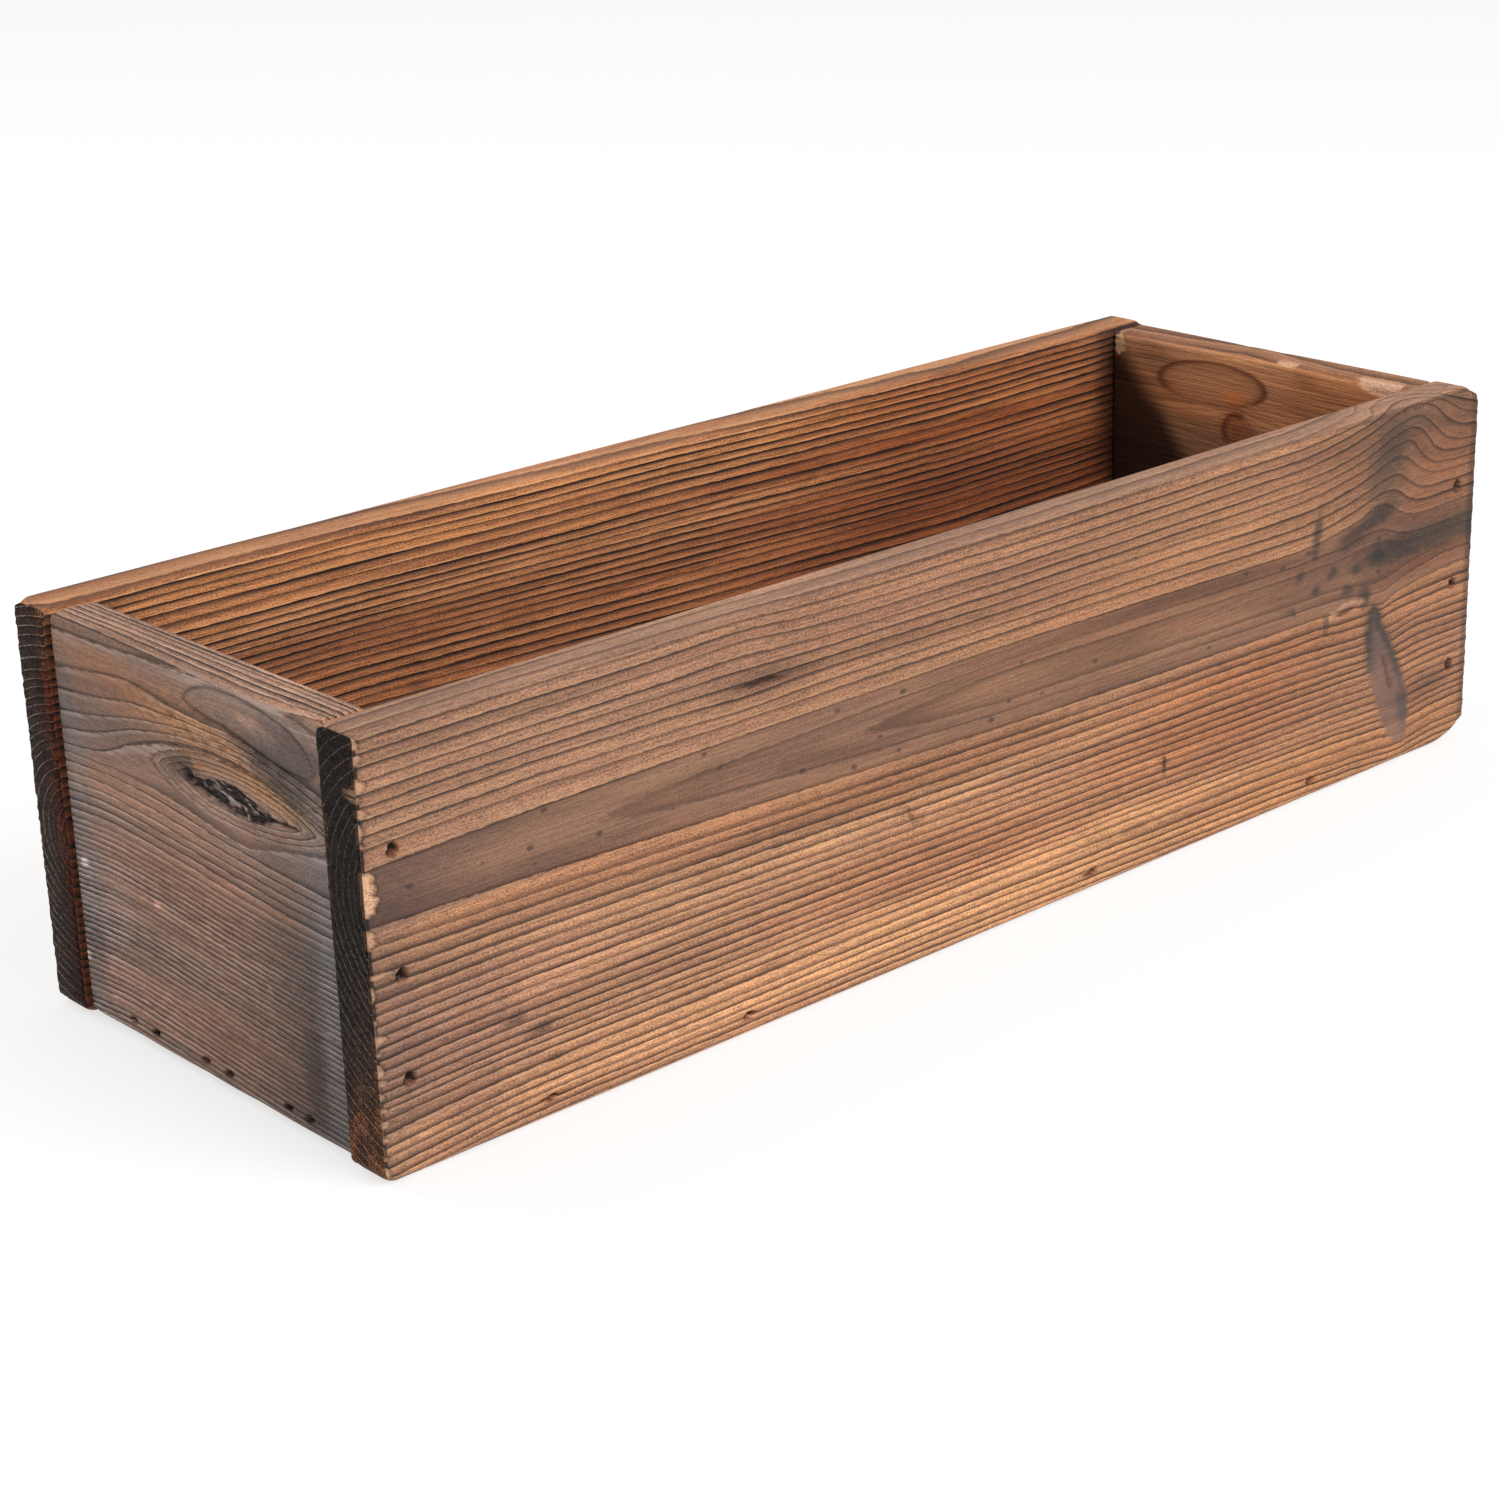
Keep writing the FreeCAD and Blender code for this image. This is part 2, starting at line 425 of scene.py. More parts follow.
side_end = 218.0
side_face = 77.0
side_thickness = 15.0
side_height = 118.0
side_arris_radius = 3.0
side_face_edge = (2.0, 0.6)
corner_brad_along = 208.5
corner_brad_heights = (26.6, 54.3, 86.7)
corner_brads = [(side * corner_brad_along, height) for side in (-1, 1) for height in corner_brad_heights]
side_floor_brads = ((-165.2, 6.0), (-98.1, 6.0), (37.9, 6.0), (138.6, 6.0))

# How far each growth ring's late wood lies from the pith, above it and below it
inner_ring_radii = (2.1, 4.4, 6.8, 9.1, 11.4, 13.5, 15.65, 16.78, 19.1, 21.7, 23.7, 26.4, 28.8, 31.4, 34.0)
upper_ring_radii = inner_ring_radii + (37.3, 40.2, 43.2, 46.4, 49.5, 52.5)
lower_ring_radii = inner_ring_radii + (
    36.3, 38.5, 40.8, 43.4, 46.0, 48.5, 50.8, 53.1, 54.8,
    57.1, 60.0, 63.3, 65.4, 67.8, 70.1, 72.1, 74.5, 77.0)
pith_height = 73.4
least_pith_depth = 15.0
pith_slant = 0.41
late_wood_phase = 0.93

# Bends of the grain: middle along, reach before and after, middle up, reach below and above, rise
front_bends = (
    (-226, 1, 34, -4, 1, 24, -5.2),
    (-226, 1, 22, 36, 14, 12, -0.9),
    (-97, 20, 18, 106, 5, 8, 1.5),
    (-94, 16, 14, 93, 5, 4, -0.8),
)

# The swirl round the branch. For grain that reaches the first station at a level, how far it is lifted at
# each station along the board.
swirl_stations = (130, 140, 150, 160, 166, 172, 178, 184, 190, 196, 202, 208, 218)
swirl_lifts = {
    0.0: (0, -0.2, -0.5, -0.8, -1.2, -1.6, -2.0, -2.0, -1.7, -1.2, -0.9, -0.8, -0.8),
    9.3: (0, -0.5, -1.2, -1.5, -2.0, -2.4, -3.0, -3.2, -2.4, -1.7, -1.2, -1.2, -1.3),
    12.7: (0, -0.5, -0.8, -1.1, -1.5, -1.8, -2.5, -2.6, -1.9, -1.3, -0.8, -0.6, -0.5),
    18.0: (0, -0.1, -0.3, -1.0, -1.2, -1.5, -1.8, -1.9, -1.5, -0.8, -0.5, -0.3, -0.2),
    25.0: (0, -0.2, -0.4, -0.8, -1.0, -1.3, -1.2, -0.9, -0.2, 0.2, 0.3, 0.4, 0.6),
    35.0: (0, -0.3, -0.4, -0.8, -0.9, -1.0, -0.9, -0.6, 0.1, 0.3, 0.5, 0.5, 0.5),
    43.3: (0, -0.5, -0.8, -1.5, -1.7, -1.5, -0.9, 0.2, 1.1, 1.1, 0.8, 0.6, 0.5),
    49.9: (0, -0.5, -1.3, -1.8, -1.9, -2.0, -1.6, -1.0, -0.2, 0.1, 0.4, 0.4, 0.4),
    52.2: (0, 0.2, -0.6, -1.3, -1.4, -1.2, -0.3, 0.1, 0.3, 0.6, 0.8, 0.9, 0.9),
    54.9: (0, 0.0, -0.8, -1.0, -1.0, -0.8, 0.1, 0.6, 0.9, 1.0, 1.2, 1.3, 1.4),
    58.1: (0, -0.2, -0.6, -1.2, -2.0, -3.0, -1.1, 0.0, 0.7, 1.0, 1.5, 1.7, 1.9),
    65.0: (0, 0.0, -0.5, -2.0, -3.0, -3.1, -1.7, -0.1, 1.1, 2.1, 3.0, 3.0, 3.2),
    70.0: (0, 0.0, 0.0, 0.0, 0.0, 0.0, 0.0, 0.3, 0.6, 1.0, 1.3, 1.3, 1.3),
    74.0: (0, 0.2, 0.3, 1.0, 1.2, 1.0, 0.0, -0.8, -1.0, -1.1, -1.1, -1.0, -1.0),
    78.8: (0, 0.5, 0.5, 2.1, 2.6, 2.0, -0.3, -1.5, -2.0, -2.3, -2.2, -2.0, -1.8),
    82.5: (0, 0.7, 2.1, 3.8, 6.1, 5.8, 2.5, 0.0, -0.6, -0.9, -0.7, -0.5, -0.5),
    86.9: (0, 0.2, 1.6, 3.5, 5.0, 5.8, 4.4, 0.8, -0.7, -0.9, -0.9, -0.9, -0.8),
    90.6: (0, 0.9, 2.0, 3.8, 5.2, 6.6, 6.8, 3.2, 0.2, -0.6, -0.7, -0.8, -0.7),
    94.3: (0, 0.6, 1.9, 3.8, 5.5, 7.5, 8.1, 5.5, 1.5, -0.4, -1.0, -1.3, -1.3),
    97.7: (0, 0.9, 2.2, 3.7, 5.4, 7.6, 8.7, 8.3, 2.2, -0.9, -1.6, -1.9, -2.1),
    101.3: (0, 0.6, 1.7, 3.5, 5.1, 7.2, 8.8, 9.3, 6.7, 0.5, -1.9, -2.5, -2.6),
    104.8: (0, 0.5, 1.5, 3.3, 4.9, 7.0, 8.5, 9.3, 8.2, 3.9, -0.5, -2.4, -3.3),
    107.5: (0, 0.9, 2.0, 3.9, 5.4, 7.3, 8.7, 9.6, 9.3, 6.3, 1.0, -1.5, -2.8),
    111.0: (0, 0.9, 2.4, 4.2, 5.3, 7.0, 8.4, 9.4, 9.0, 7.0, 4.2, 0.6, -2.2),
    114.8: (0, 0.7, 1.5, 2.7, 3.8, 5.7, 7.2, 8.2, 7.7, 5.8, 3.1, 0.8, -2.2),
}


def swirled(rows, level):
    """How far the swirl lifts grain at a level, given a row for each of its levels at the same points."""
    levels = np.array(list(swirl_lifts))
    row = np.clip(np.searchsorted(levels, level) - 1, 0, len(levels) - 2)
    share = np.clip((level - levels[row]) / (levels[row + 1] - levels[row]), 0, 1)
    point = np.arange(len(level))
    return rows[row, point] * (1 - share) + rows[row + 1, point] * share


def front_rings(along, into, up):
    """How many growth rings lie between the pith and each point."""
    swirl_rows = np.stack([curve_through(swirl_stations, lifts, along) for lifts in swirl_lifts.values()])

    def rise(along, height):
        left_lean = np.interp(along, (-165, 0), (1, 0))
        right_lean = np.interp(along, (0, 130), (0, 1))
        shifted = -2.6 + 3.4 * smooth(height, 84, 104)
        lift = left_lean * (0.8 + 2.1 * smooth(height, 10, 60) + 0.8 * smooth(height, 80, 98))
        for middle, before, after, level, below, above, bend in front_bends:
            lift = lift + bend * hill(along, middle, before, after) * hill(height, level, below, above)
        return lift + right_lean * shifted + swirled(swirl_rows, height + shifted)

    wander = 0.3 * cloud(along, up, (58, 16), 1) + 0.13 * cloud(along, up, (15, 5), 2)
    wander = wander * smooth(along, 140, 110)
    straight = straightened(along, up, rise)
    from_pith = straight - pith_height + wander * smooth(np.abs(straight - pith_height), 8, 16)
    pith_depth = np.sqrt(least_pith_depth**2 + pith_slant * np.clip(-along, 0, side_end))
    radius = np.sqrt(from_pith**2 + (pith_depth + into) ** 2)
    upper = np.interp(radius, upper_ring_radii, np.arange(len(upper_ring_radii)))
    lower = np.interp(radius, lower_ring_radii, np.arange(len(lower_ring_radii)))
    above = smooth(from_pith, -3, 3)
    return upper * above + lower * (1 - above) + late_wood_phase


# The branch's scar: heights up the face, and where its left and right edges are there
scar_heights = (6.3, 8, 11, 15, 20, 25, 30, 35, 40, 45, 50, 54, 57)
scar_left = (183.5, 180, 177, 174.6, 172, 170.5, 168, 166.3, 166, 165.5, 165.5, 165.7, 167)
scar_right = (186, 187.5, 188, 188, 187.5, 186.6, 184, 181.4, 179, 175.8, 172, 171, 169)

# The board's grid is fine at the ends, and round the marks that are smaller than a cell
front_along = stops(-side_end, (-206, 0.5), (-110, 8), (-78, 2.5), (128, 8), (206, 1.4), (side_end, 0.6))
front_along = around(front_along, [place[0] for place in side_floor_brads], (0.5, 1.1, 1.7))
front_along = around(front_along, [-175.8, -167.8], (1.4, 3.4))
front_along = around(front_along, [-36.5, 69], (0.5, 1.2))
front_into = stops(0, (3, 0.75), (12, 3), (side_thickness, 0.75))
front_up = stops(0, (62, 0.42), (side_height, 0.56))
front_mesh, front_axes = blank_board("front_board_wood", front_along, front_into, front_up)

# The board's corners are sanded unevenly, and the lower right one is worn away
left_half = front_axes[0] < 0
upper_half = front_axes[2] > side_height / 2
left_corner_radius = np.where(upper_half, 3.5, 4.8)
right_corner_radius = np.where(upper_half, 7.0, 5.0)
front_corner_radius = np.where(left_half, left_corner_radius, right_corner_radius)
front_saw_cut_radius = np.where(left_half, 1.0, 0.4)
worn_corner_rise = 4.5
worn_corner_reach = 16.0
along, into, up = eased_board(front_axes, side_arris_radius, front_corner_radius, front_saw_cut_radius)
worn_share = np.clip((along - side_end) / worn_corner_reach + 1, 0, 1)
up = up + worn_corner_rise * worn_share**2 * smooth(up, 14, 0)
rings = front_rings(along, into, up)

# The charred ends are brown where the flame was short
front_surface = plain_surface(front_axes)
on_end, on_face, on_inside, on_top = board_sides(front_axes, front_surface, into, up, side_face_edge)
front_end_brown = 0.95 * smooth(up + into, 38, 8) + 0.3 * smooth(up + 2 * into, 72, 30)
front_end_brown = front_end_brown + 0.9 * patch(into, up, (14.5, 91), (1.6, 7), 0, 0.5, 0.3)
front_surface["haze"] = np.clip(front_end_brown, 0, 1) * on_end
stain(front_surface, smooth(up, 30, 12) * on_end, (1.3, 1.15, 1.1))

# The rings next to the pith lie flat in the face, as a smooth grey-brown band with darker tongues
heartwood = smooth(rings, 8.95, 8.85) * (on_face + on_inside)
stain(front_surface, 0.85 * heartwood, (0.6, 0.62, 0.72))
swirl_wear = 0.45 * patch(along, up, (184, 101), (26, 16), 0, 0.5) * on_face
front_surface["worn"] = np.maximum.reduce(
    [0.8 * heartwood, 0.6 * on_top, 0.8 * smooth(up, 58, 72) * on_end, swirl_wear])
front_surface["late"] = 0.62 - 0.22 * smooth(up, 62, 70) - 0.2 * heartwood

# Marks on the face: middle, reach, tilt, colour and strength. The broad tones of the wood come first, with a
# painted sheen among them, and the burns, dots and smoke patches after them.
front_stains = (
    ((-60, 8), (190, 13), 0, amber, 0.8),
    ((-100, 12), (100, 18), 0, (1.12, 1.12, 1.14), 0.9),
    ((-180, 36), (36, 14), 0, (1.12, 1.1, 1.13), 0.8),
    ((-36, 72), (52, 24), 0, (0.92, 0.92, 0.92), 0.8),
    ((60, 12), (120, 12), 0, amber, 0.7),
    ((142, 14), (75, 13), 0, (0.96, 0.91, 0.88), 0.8),
    ((-36, 14), (38, 13), 0, (1.05, 1.08, 1.09), 0.8),
    ((60, 82), (75, 13), 0, (0.99, 0.93, 0.87), 0.9),
    ((160, 6), (60, 9), 0, amber, 0.7),
    ((-60, 45), (70, 14), 0, amber, 0.3),
    ((10, 52), (60, 9), 0, amber, 0.3),
    ((-30, 28), (60, 9), -2, russet, 0.55),
    ((95, 40), (50, 13), 2, russet, 0.75),
    ((60, 34), (90, 12), 0, russet, 0.4),
    ((120, 53), (60, 6), 0, russet, 0.5),
    ((-90, 60), (120, 6), -3, russet, 0.45),
    ((-30, 57), (60, 7), 0, soot, 0.3),
    ((195, 40), (22, 30), 0, russet, 0.35),
    ((205, 95), (16, 22), 0, russet, 0.4),
    ((192, 22), (14, 5), 10, soot, 0.35),
    ((120, 104), (60, 14), 0, amber, 0.15),
    # Painted sheen: a bluish grey over the upper left of the face
    ((-170, 104), (70, 18), 0, (0.86, 0.88, 0.98), 0.7),
    ((-60, 108), (90, 10), 0, (0.9, 0.9, 0.97), 0.6),
    ((-195, 30), (26, 22), 0, (0.72, 0.72, 0.84), 0.8),
    ((-214, 40), (9, 42), 0, smoke, 0.8),
    ((-150, 30), (60, 8), -2, soot, 0.22),
    ((-175.8, 31), (3.2, 1.4), 0, ash, 1.0),
    ((-167.8, 26.4), (4.4, 1.6), 6, ash, 1.0),
    ((-163, 17), (4, 1), 0, soot, 0.5),
    ((-90, 18), (4, 1.5), 0, soot, 0.5),
    ((-110, 50.5), (4, 1.4), 0, soot, 0.5),
    ((-30, 33), (4, 1.2), 0, soot, 0.6),
    ((55, 14.5), (3.5, 1.4), 0, soot, 0.65),
    ((79, 11), (3, 1), 0, soot, 0.4),
    ((69, 31), (1.0, 3.0), 0, (0.15, 0.15, 0.15), 1.0),
    ((127, 41), (4, 1), 0, soot, 0.5),
    ((92, 99), (4, 1.5), 0, soot, 0.4),
    ((-205, 75), (16, 8), 0, smoke, 0.8),
    ((-180, 69.5), (40, 2.5), 0, smoke, 0.7),
    ((-190, 82), (30, 3), 3, smoke, 0.5),
    ((-120, 76.5), (24, 3.5), 0, soot, 0.45),
    ((-64, 71), (26, 3), -8, soot, 0.4),
    ((-36, 74), (18, 3), 0, soot, 0.4),
    ((100, 80), (40, 2.5), -2, soot, 0.35),
    ((-89, 98.2), (19, 3.4), -2, ash, 0.65),
    ((138.2, 86), (2.0, 6.5), -8, (0.26, 0.32, 0.36), 0.95),
    ((144, 55.5), (1.4, 3.4), 0, charcoal, 0.95),
    ((163, 60.5), (2.8, 3.4), 0, (0.26, 0.32, 0.36), 0.95),
    ((146.4, 72.2), (2.4, 1.7), 20, charcoal, 1.0),
    ((138.5, 68.2), (2.4, 1.5), 0, charcoal, 1.0),
    ((154, 64.8), (2.6, 1.7), -10, charcoal, 1.0),
    ((127, 64), (1.8, 1.3), 0, charcoal, 0.9),
    ((101, 74.2), (1.6, 1.1), 0, charcoal, 0.8),
    ((130.6, 74.8), (2, 1.3), 30, charcoal, 0.9),
    ((158, 70.6), (2.4, 1.7), 0, charcoal, 1.0),
    ((168.4, 72.4), (3.4, 2.4), 0, charcoal, 0.9),
    ((170, 86), (8, 3.2), 14, (0.3, 0.36, 0.42), 0.95),
    ((157, 81.6), (7.5, 3.0), 14, (0.33, 0.36, 0.4), 0.9),
    ((174, 72), (13, 4.4), 0, (0.4, 0.48, 0.55), 0.8),
    ((198, 73.6), (32, 4.4), 0, (0.33, 0.42, 0.5), 0.95),
    ((60, 81.5), (80, 2.0), -1, soot, 0.5),
    ((45, 72), (22, 6), 0, soot, 0.3),
    ((132, 72), (18, 6), 0, soot, 0.3),
    ((179, 75), (8, 1.0), 3, (1.5, 1.1, 0.8), 0.6),
    ((200, 66), (28, 2.6), 2, russet, 0.6),
    ((172, 101), (9, 12), -20, charcoal, 0.7),
    ((192, 98), (14, 12), 0, (1.12, 1.08, 1.05), 0.7),
    ((182, 113), (18, 4), -10, charcoal, 0.5),
    ((176, 106), (8, 5), 0, ash, 0.45),
    ((188, 104), (5, 2.4), -40, soot, 0.5),
    ((181, 95), (4, 2), 30, soot, 0.4),
    ((204, 116), (14, 3), -14, charcoal, 0.4),
    ((187, 84), (10, 4), 20, (1.0, 0.86, 0.76), 0.5),
    ((180, 66), (24, 3.5), 6, soot, 0.45),
    ((169.5, 47), (5, 9), 8, (0.66, 0.72, 0.78), 0.8),
)
stain_all(front_surface, along, up, on_face, front_stains)

# The flame stayed longer on the right and on the upper half
stain(front_surface, smooth(along, 20, 190) * on_face, (0.78, 0.74, 0.71))
stain(front_surface, smooth(along, 110, 190) * smooth(up, 58, 92) * on_face, (0.76, 0.76, 0.77))
stain(front_surface, smooth(up, 44, 58) * smooth(along, 130, 50) * on_face, (0.84, 0.83, 0.83))
stain(front_surface, smooth(along, -90, 40) * smooth(up, 40, 60) * on_face, (0.98, 0.96, 0.92))
stain(front_surface, smooth(along, -150, -60) * smooth(up, 88, 96) * on_face, (0.89, 0.86, 0.86))
stain(front_surface, smooth(along, 130, 170) * smooth(up, 66, 76) * on_face, (0.88, 0.87, 0.89))

# Both ends of the face stay dark where the flame reached round the arris
stain(front_surface, smooth(along, 213, 216.3) * (0.7 + 0.3 * hill(up, 70, 24)) * on_face, ash)
stain(front_surface, smooth(along, -214.5, -217) * on_face * 0.6, smoke)
stain(front_surface, 0.35 * smooth(along, -217, -217.8) * (1 - on_end), (0.35, 0.22, 0.16))
# Painted sheen: a pale bluish grey along the top arris and over the top edge
stain(front_surface, smooth(up, 114.5, 118) * on_face * 0.35, (0.8, 0.85, 0.95))
stain(front_surface, on_top, (0.82, 0.86, 0.98))
# Painted shade and warm bounce light: the inner side, which faces into the trough, is darker and warmer
stain(front_surface, on_inside, (0.8, 0.7, 0.62))

# The scar is smooth and hazy, with a sooty rim, a crack and a bluish smear
from_left = along - np.interp(up, scar_heights, scar_left)
from_right = np.interp(up, scar_heights, scar_right) - along
from_tips = 2 * np.minimum(up - scar_heights[0], scar_heights[-1] - up)
frayed = 0.8 * cloud(along, up, (5, 0.8), 8) + 0.4 * cloud(along, up, (1.7, 0.5), 9)
scar = smooth(np.minimum.reduce([from_left, from_right, from_tips]) + frayed, -0.7, 1.0) * on_face
left_rim = hill(from_left + frayed, 0.3, 2.2) * smooth(up, 30, 40)
right_rim = hill(from_right + frayed, 1.4, 2.0, 2.6) * smooth(up, 24, 33)
scar_rim = np.maximum(left_rim, right_rim) * smooth(from_tips, -1, 3) * on_face
scar_crack = hill(along - 176 + 0.4 * (up - 32), 0, 0.9) * smooth(up, 25, 28) * smooth(up, 41, 37) * scar
scar_smear = patch(along, up, (186, 18), (3.5, 8), 8, 0.6, 0.3) * on_face
stain(front_surface, 0.95 * scar_rim, (0.32, 0.4, 0.46))
stain(front_surface, 0.9 * scar_smear * scar, (0.5, 0.7, 0.86))
stain(front_surface, 0.9 * scar_crack, (0.5, 0.3, 0.22))
front_surface["worn"] = np.maximum(front_surface["worn"], 1.6 * scar)
grey_blur = 0.45 * patch(along, up, (197, 23), (9, 4), 8, 0.7, 0.3) * on_face
front_surface["haze"] = np.maximum.reduce([front_surface["haze"], 0.9 * scar, grey_blur])

# Torn spots: the slit of a pulled fibre, a pale splinter lifted over a dark gap, and a scratch
on_slit = patch(along, up, (-89, 98.1), (9.5, 0.75), -1.5, 0.35, 0.3) * on_face
on_gap = patch(along, up, (154.5, 57.6), (5.5, 0.7), 3, 0.4, 0.3) * on_face
on_splinter = patch(along, up, (152.8, 58.4), (7.8, 2.2), 4, 0.12, 0.3) * on_face
on_splinter = on_splinter * (1 - patch(along, up, (154, 58.2), (6.2, 1.3), 4, 0.2, 0.25))
on_scratch = patch(along, up, (-36.5, 45), (0.9, 3.4), 25, 0.5, 0.2) * on_face
stain(front_surface, on_slit, (0.2, 0.12, 0.06))
stain(front_surface, np.maximum(on_gap, 0.6 * on_scratch), (0.3, 0.24, 0.22))
front_surface["raw"] = 0.45 * on_splinter

# Two slivers torn out of the left end's grain, near the top
on_sliver = patch(into, up, (0.5, 103.6), (5.6, 0.8), -10, 0.2, 0.35)
on_sliver = np.maximum(on_sliver, patch(into, up, (0.5, 101.4), (4.0, 0.6), 6, 0.2, 0.35))
on_sliver = on_sliver * on_end * (along < 0)
front_surface["raw"] = np.maximum(front_surface["raw"], 0.5 * on_sliver)

relief = ring_relief(rings, 0.11 - 0.03 * smooth(up, 62, 70)) * (1 - scar) * (1 - on_end)
relief = relief * (1 - 0.7 * np.minimum(front_surface["worn"], 1)) - 0.5 * on_sliver
relief = relief - 0.9 * on_slit - 0.6 * on_gap - 0.3 * on_scratch - 0.35 * scar_crack
relief = relief - 0.25 * scar * smooth(cloud(along, up, (2, 7), 12), 0, 1) - 0.2 * scar_rim
relief = relief * (1 - 0.6 * smooth(along, -209, -216))
relief = relief - on_end * 0.18 * (1 + cloud(into * 3, up, (2.5, 1.1), 21))

# Chips along the left arris: middle height, half height, width and depth
arris_chips = (
    (77.5, 5.8, 4.2, 1.2), (66.0, 2.5, 3.0, 0.9), (115.6, 1.5, 1.7, 0.6), (111.5, 1.4, 2.3, 0.8),
    (105.0, 2.0, 2.6, 0.9), (101.7, 0.8, 1.5, 0.5), (98.2, 1.2, 2.6, 0.8), (93.4, 2.6, 1.1, 0.6),
    (89.8, 0.9, 1.4, 0.5), (56.2, 0.6, 6.5, 0.4), (51.8, 2.2, 1.0, 0.4), (44.4, 0.8, 1.5, 0.4),
    (39.4, 1.4, 3.0, 0.6), (35.8, 0.6, 1.7, 0.4), (31.4, 2.0, 2.2, 0.6), (28.2, 0.8, 3.8, 0.5),
    (24.6, 1.0, 2.0, 0.5), (20.8, 0.7, 2.7, 0.4), (16.9, 0.9, 3.2, 0.5), (12.8, 0.7, 2.2, 0.4),
    (8.0, 0.6, 1.3, 0.4), (3.0, 2.6, 1.7, 0.5),
)
for chip_up, half_height, width, depth in arris_chips:
    across = np.clip((up - chip_up) / half_height, -1, 1)
    edge = -side_end + width * (1 - across**2) ** 0.45 * (1 + 0.4 * cloud(along, up, (50, 1.1), 31))
    chip = smooth(along - edge, 0.3, -0.2) * (np.abs(across) < 1) * smooth(into, 1.9, 0.9)
    chip = chip * (1 - 0.8 * on_end)
    outline = hill(along - edge, 0.45, 0.4) * smooth(np.abs(across), 1.3, 1.0) * on_face
    front_surface["raw"] = np.maximum(front_surface["raw"], chip * min(1, 0.4 + 0.12 * half_height))
    stain(front_surface, 0.75 * outline, (0.4, 0.3, 0.26))
    relief = relief - depth * chip * (0.75 + 0.25 * cloud(along, up, (0.9, 0.7), 33))

# Lower down, that arris is frayed between its chips
frayed_arris = smooth(along, -216.9, -217.6) * smooth(up, 52, 46) * on_face
frayed_arris = frayed_arris * smooth(cloud(along, up, (60, 1.7), 35), -0.5, 0.3)
front_surface["raw"] = np.maximum(front_surface["raw"], 0.4 * frayed_arris)

for place in corner_brads:
    sink_hole(front_surface, relief, along, up, on_face, place, (1.5, 1.75), -10, 1.9)
for place in side_floor_brads:
    sink_hole(front_surface, relief, along, up, on_face, place, (1.75, 0.95), 12, 1.9)

facing_front = ((1, 0, 0, 0), (0, 1, 0, -side_face), (0, 0, 1, 0))
front_board = add_board(
    "front_board_wood", front_mesh, (along, into, up), rings, front_surface, relief, facing_front)


def number(tree, operation, *inputs):
    """A maths node whose inputs are numbers or sockets."""
    node = node_of(tree, "ShaderNodeMath", operation=operation)
    for socket, value in zip(node.inputs, inputs):
        if isinstance(value, (int, float)):
            socket.default_value = value
        else:
            wire(tree, (value, socket))
    return node.outputs[0]


def blend(tree, share, first, second, mode="MIX"):
    """Two colours mixed by a share. A colour is a tuple or a socket."""
    node = node_of(tree, "ShaderNodeMix", data_type="RGBA", blend_type=mode)
    for socket, value in ((node.inputs["Factor"], share), (node.inputs[6], first), (node.inputs[7], second)):
        if isinstance(value, (int, float)):
            socket.default_value = value
        elif isinstance(value, tuple):
            socket.default_value = (*value, 1.0)
        else:
            wire(tree, (value, socket))
    return node.outputs[2]


def ranged(tree, value, low, high, out_low=0.0, out_high=1.0):
    """A value carried from one range to another, smoothly and without overshoot."""
    node = node_of(tree, "ShaderNodeMapRange", interpolation_type="SMOOTHSTEP")
    wire(tree, (value, node.inputs["Value"]))
    for name, limit in (("From Min", low), ("From Max", high), ("To Min", out_low), ("To Max", out_high)):
        node.inputs[name].default_value = limit
    return node.outputs["Result"]


def fibres(tree, grain, cells, detail, seed, ring=None):
    """Noise whose cells per metre along, into and up the board are given, so that it can run with the grain.
    Where a ring's number is given, each ring has noise of its own."""
    stretch = node_of(tree, "ShaderNodeMapping")
    stretch.inputs["Scale"].default_value = cells
    stretch.inputs["Location"].default_value = (seed, seed, seed)
    noise = node_of(tree, "ShaderNodeTexNoise", noise_dimensions="3D" if ring is None else "4D")
    noise.inputs["Scale"].default_value = 1.0
    noise.inputs["Detail"].default_value = detail
    wire(tree, (grain, stretch.inputs["Vector"]), (stretch.outputs[0], noise.inputs["Vector"]))
    if ring is not None:
        wire(tree, (ring, noise.inputs["W"]))
    return noise.outputs["Fac"]


def dots(tree, grain, cells, reach):
    """One small round dot at a random place in each cell."""
    stretch = node_of(tree, "ShaderNodeMapping")
    stretch.inputs["Scale"].default_value = cells
    scatter = node_of(tree, "ShaderNodeTexVoronoi")
    scatter.inputs["Scale"].default_value = 1.0
    wire(tree, (grain, stretch.inputs["Vector"]), (stretch.outputs[0], scatter.inputs["Vector"]))
    return ranged(tree, scatter.outputs["Distance"], reach, 0.5 * reach)


def grey(tree, value):
    """A number as a colour."""
    colour = node_of(tree, "ShaderNodeCombineColor")
    wire(tree, *[(value, colour.inputs[channel]) for channel in range(3)])
    return colour.outputs[0]


def growth_rings(tree, ring_count, late_share, flecks):
    """How far through its ring each point is, a number for that ring, and how much of it is late wood."""
    wobble = number(tree, "MULTIPLY", number(tree, "SUBTRACT", flecks, 0.5), 0.16)
    counted = number(tree, "ADD", ring_count, wobble)
    phase = number(tree, "FRACT", counted)
    ring = number(tree, "MULTIPLY", number(tree, "FLOOR", counted), 2.7)
    before_line = number(tree, "DIVIDE", number(tree, "SUBTRACT", late_wood_phase, phase), late_share)
    gradual = number(tree, "POWER", ranged(tree, before_line, 1.0, 0.0), 1.6)
    late_wood = number(tree, "MULTIPLY", gradual, ranged(tree, phase, 0.94, 0.995, 1.0, 0.0))
    return phase, ring, late_wood


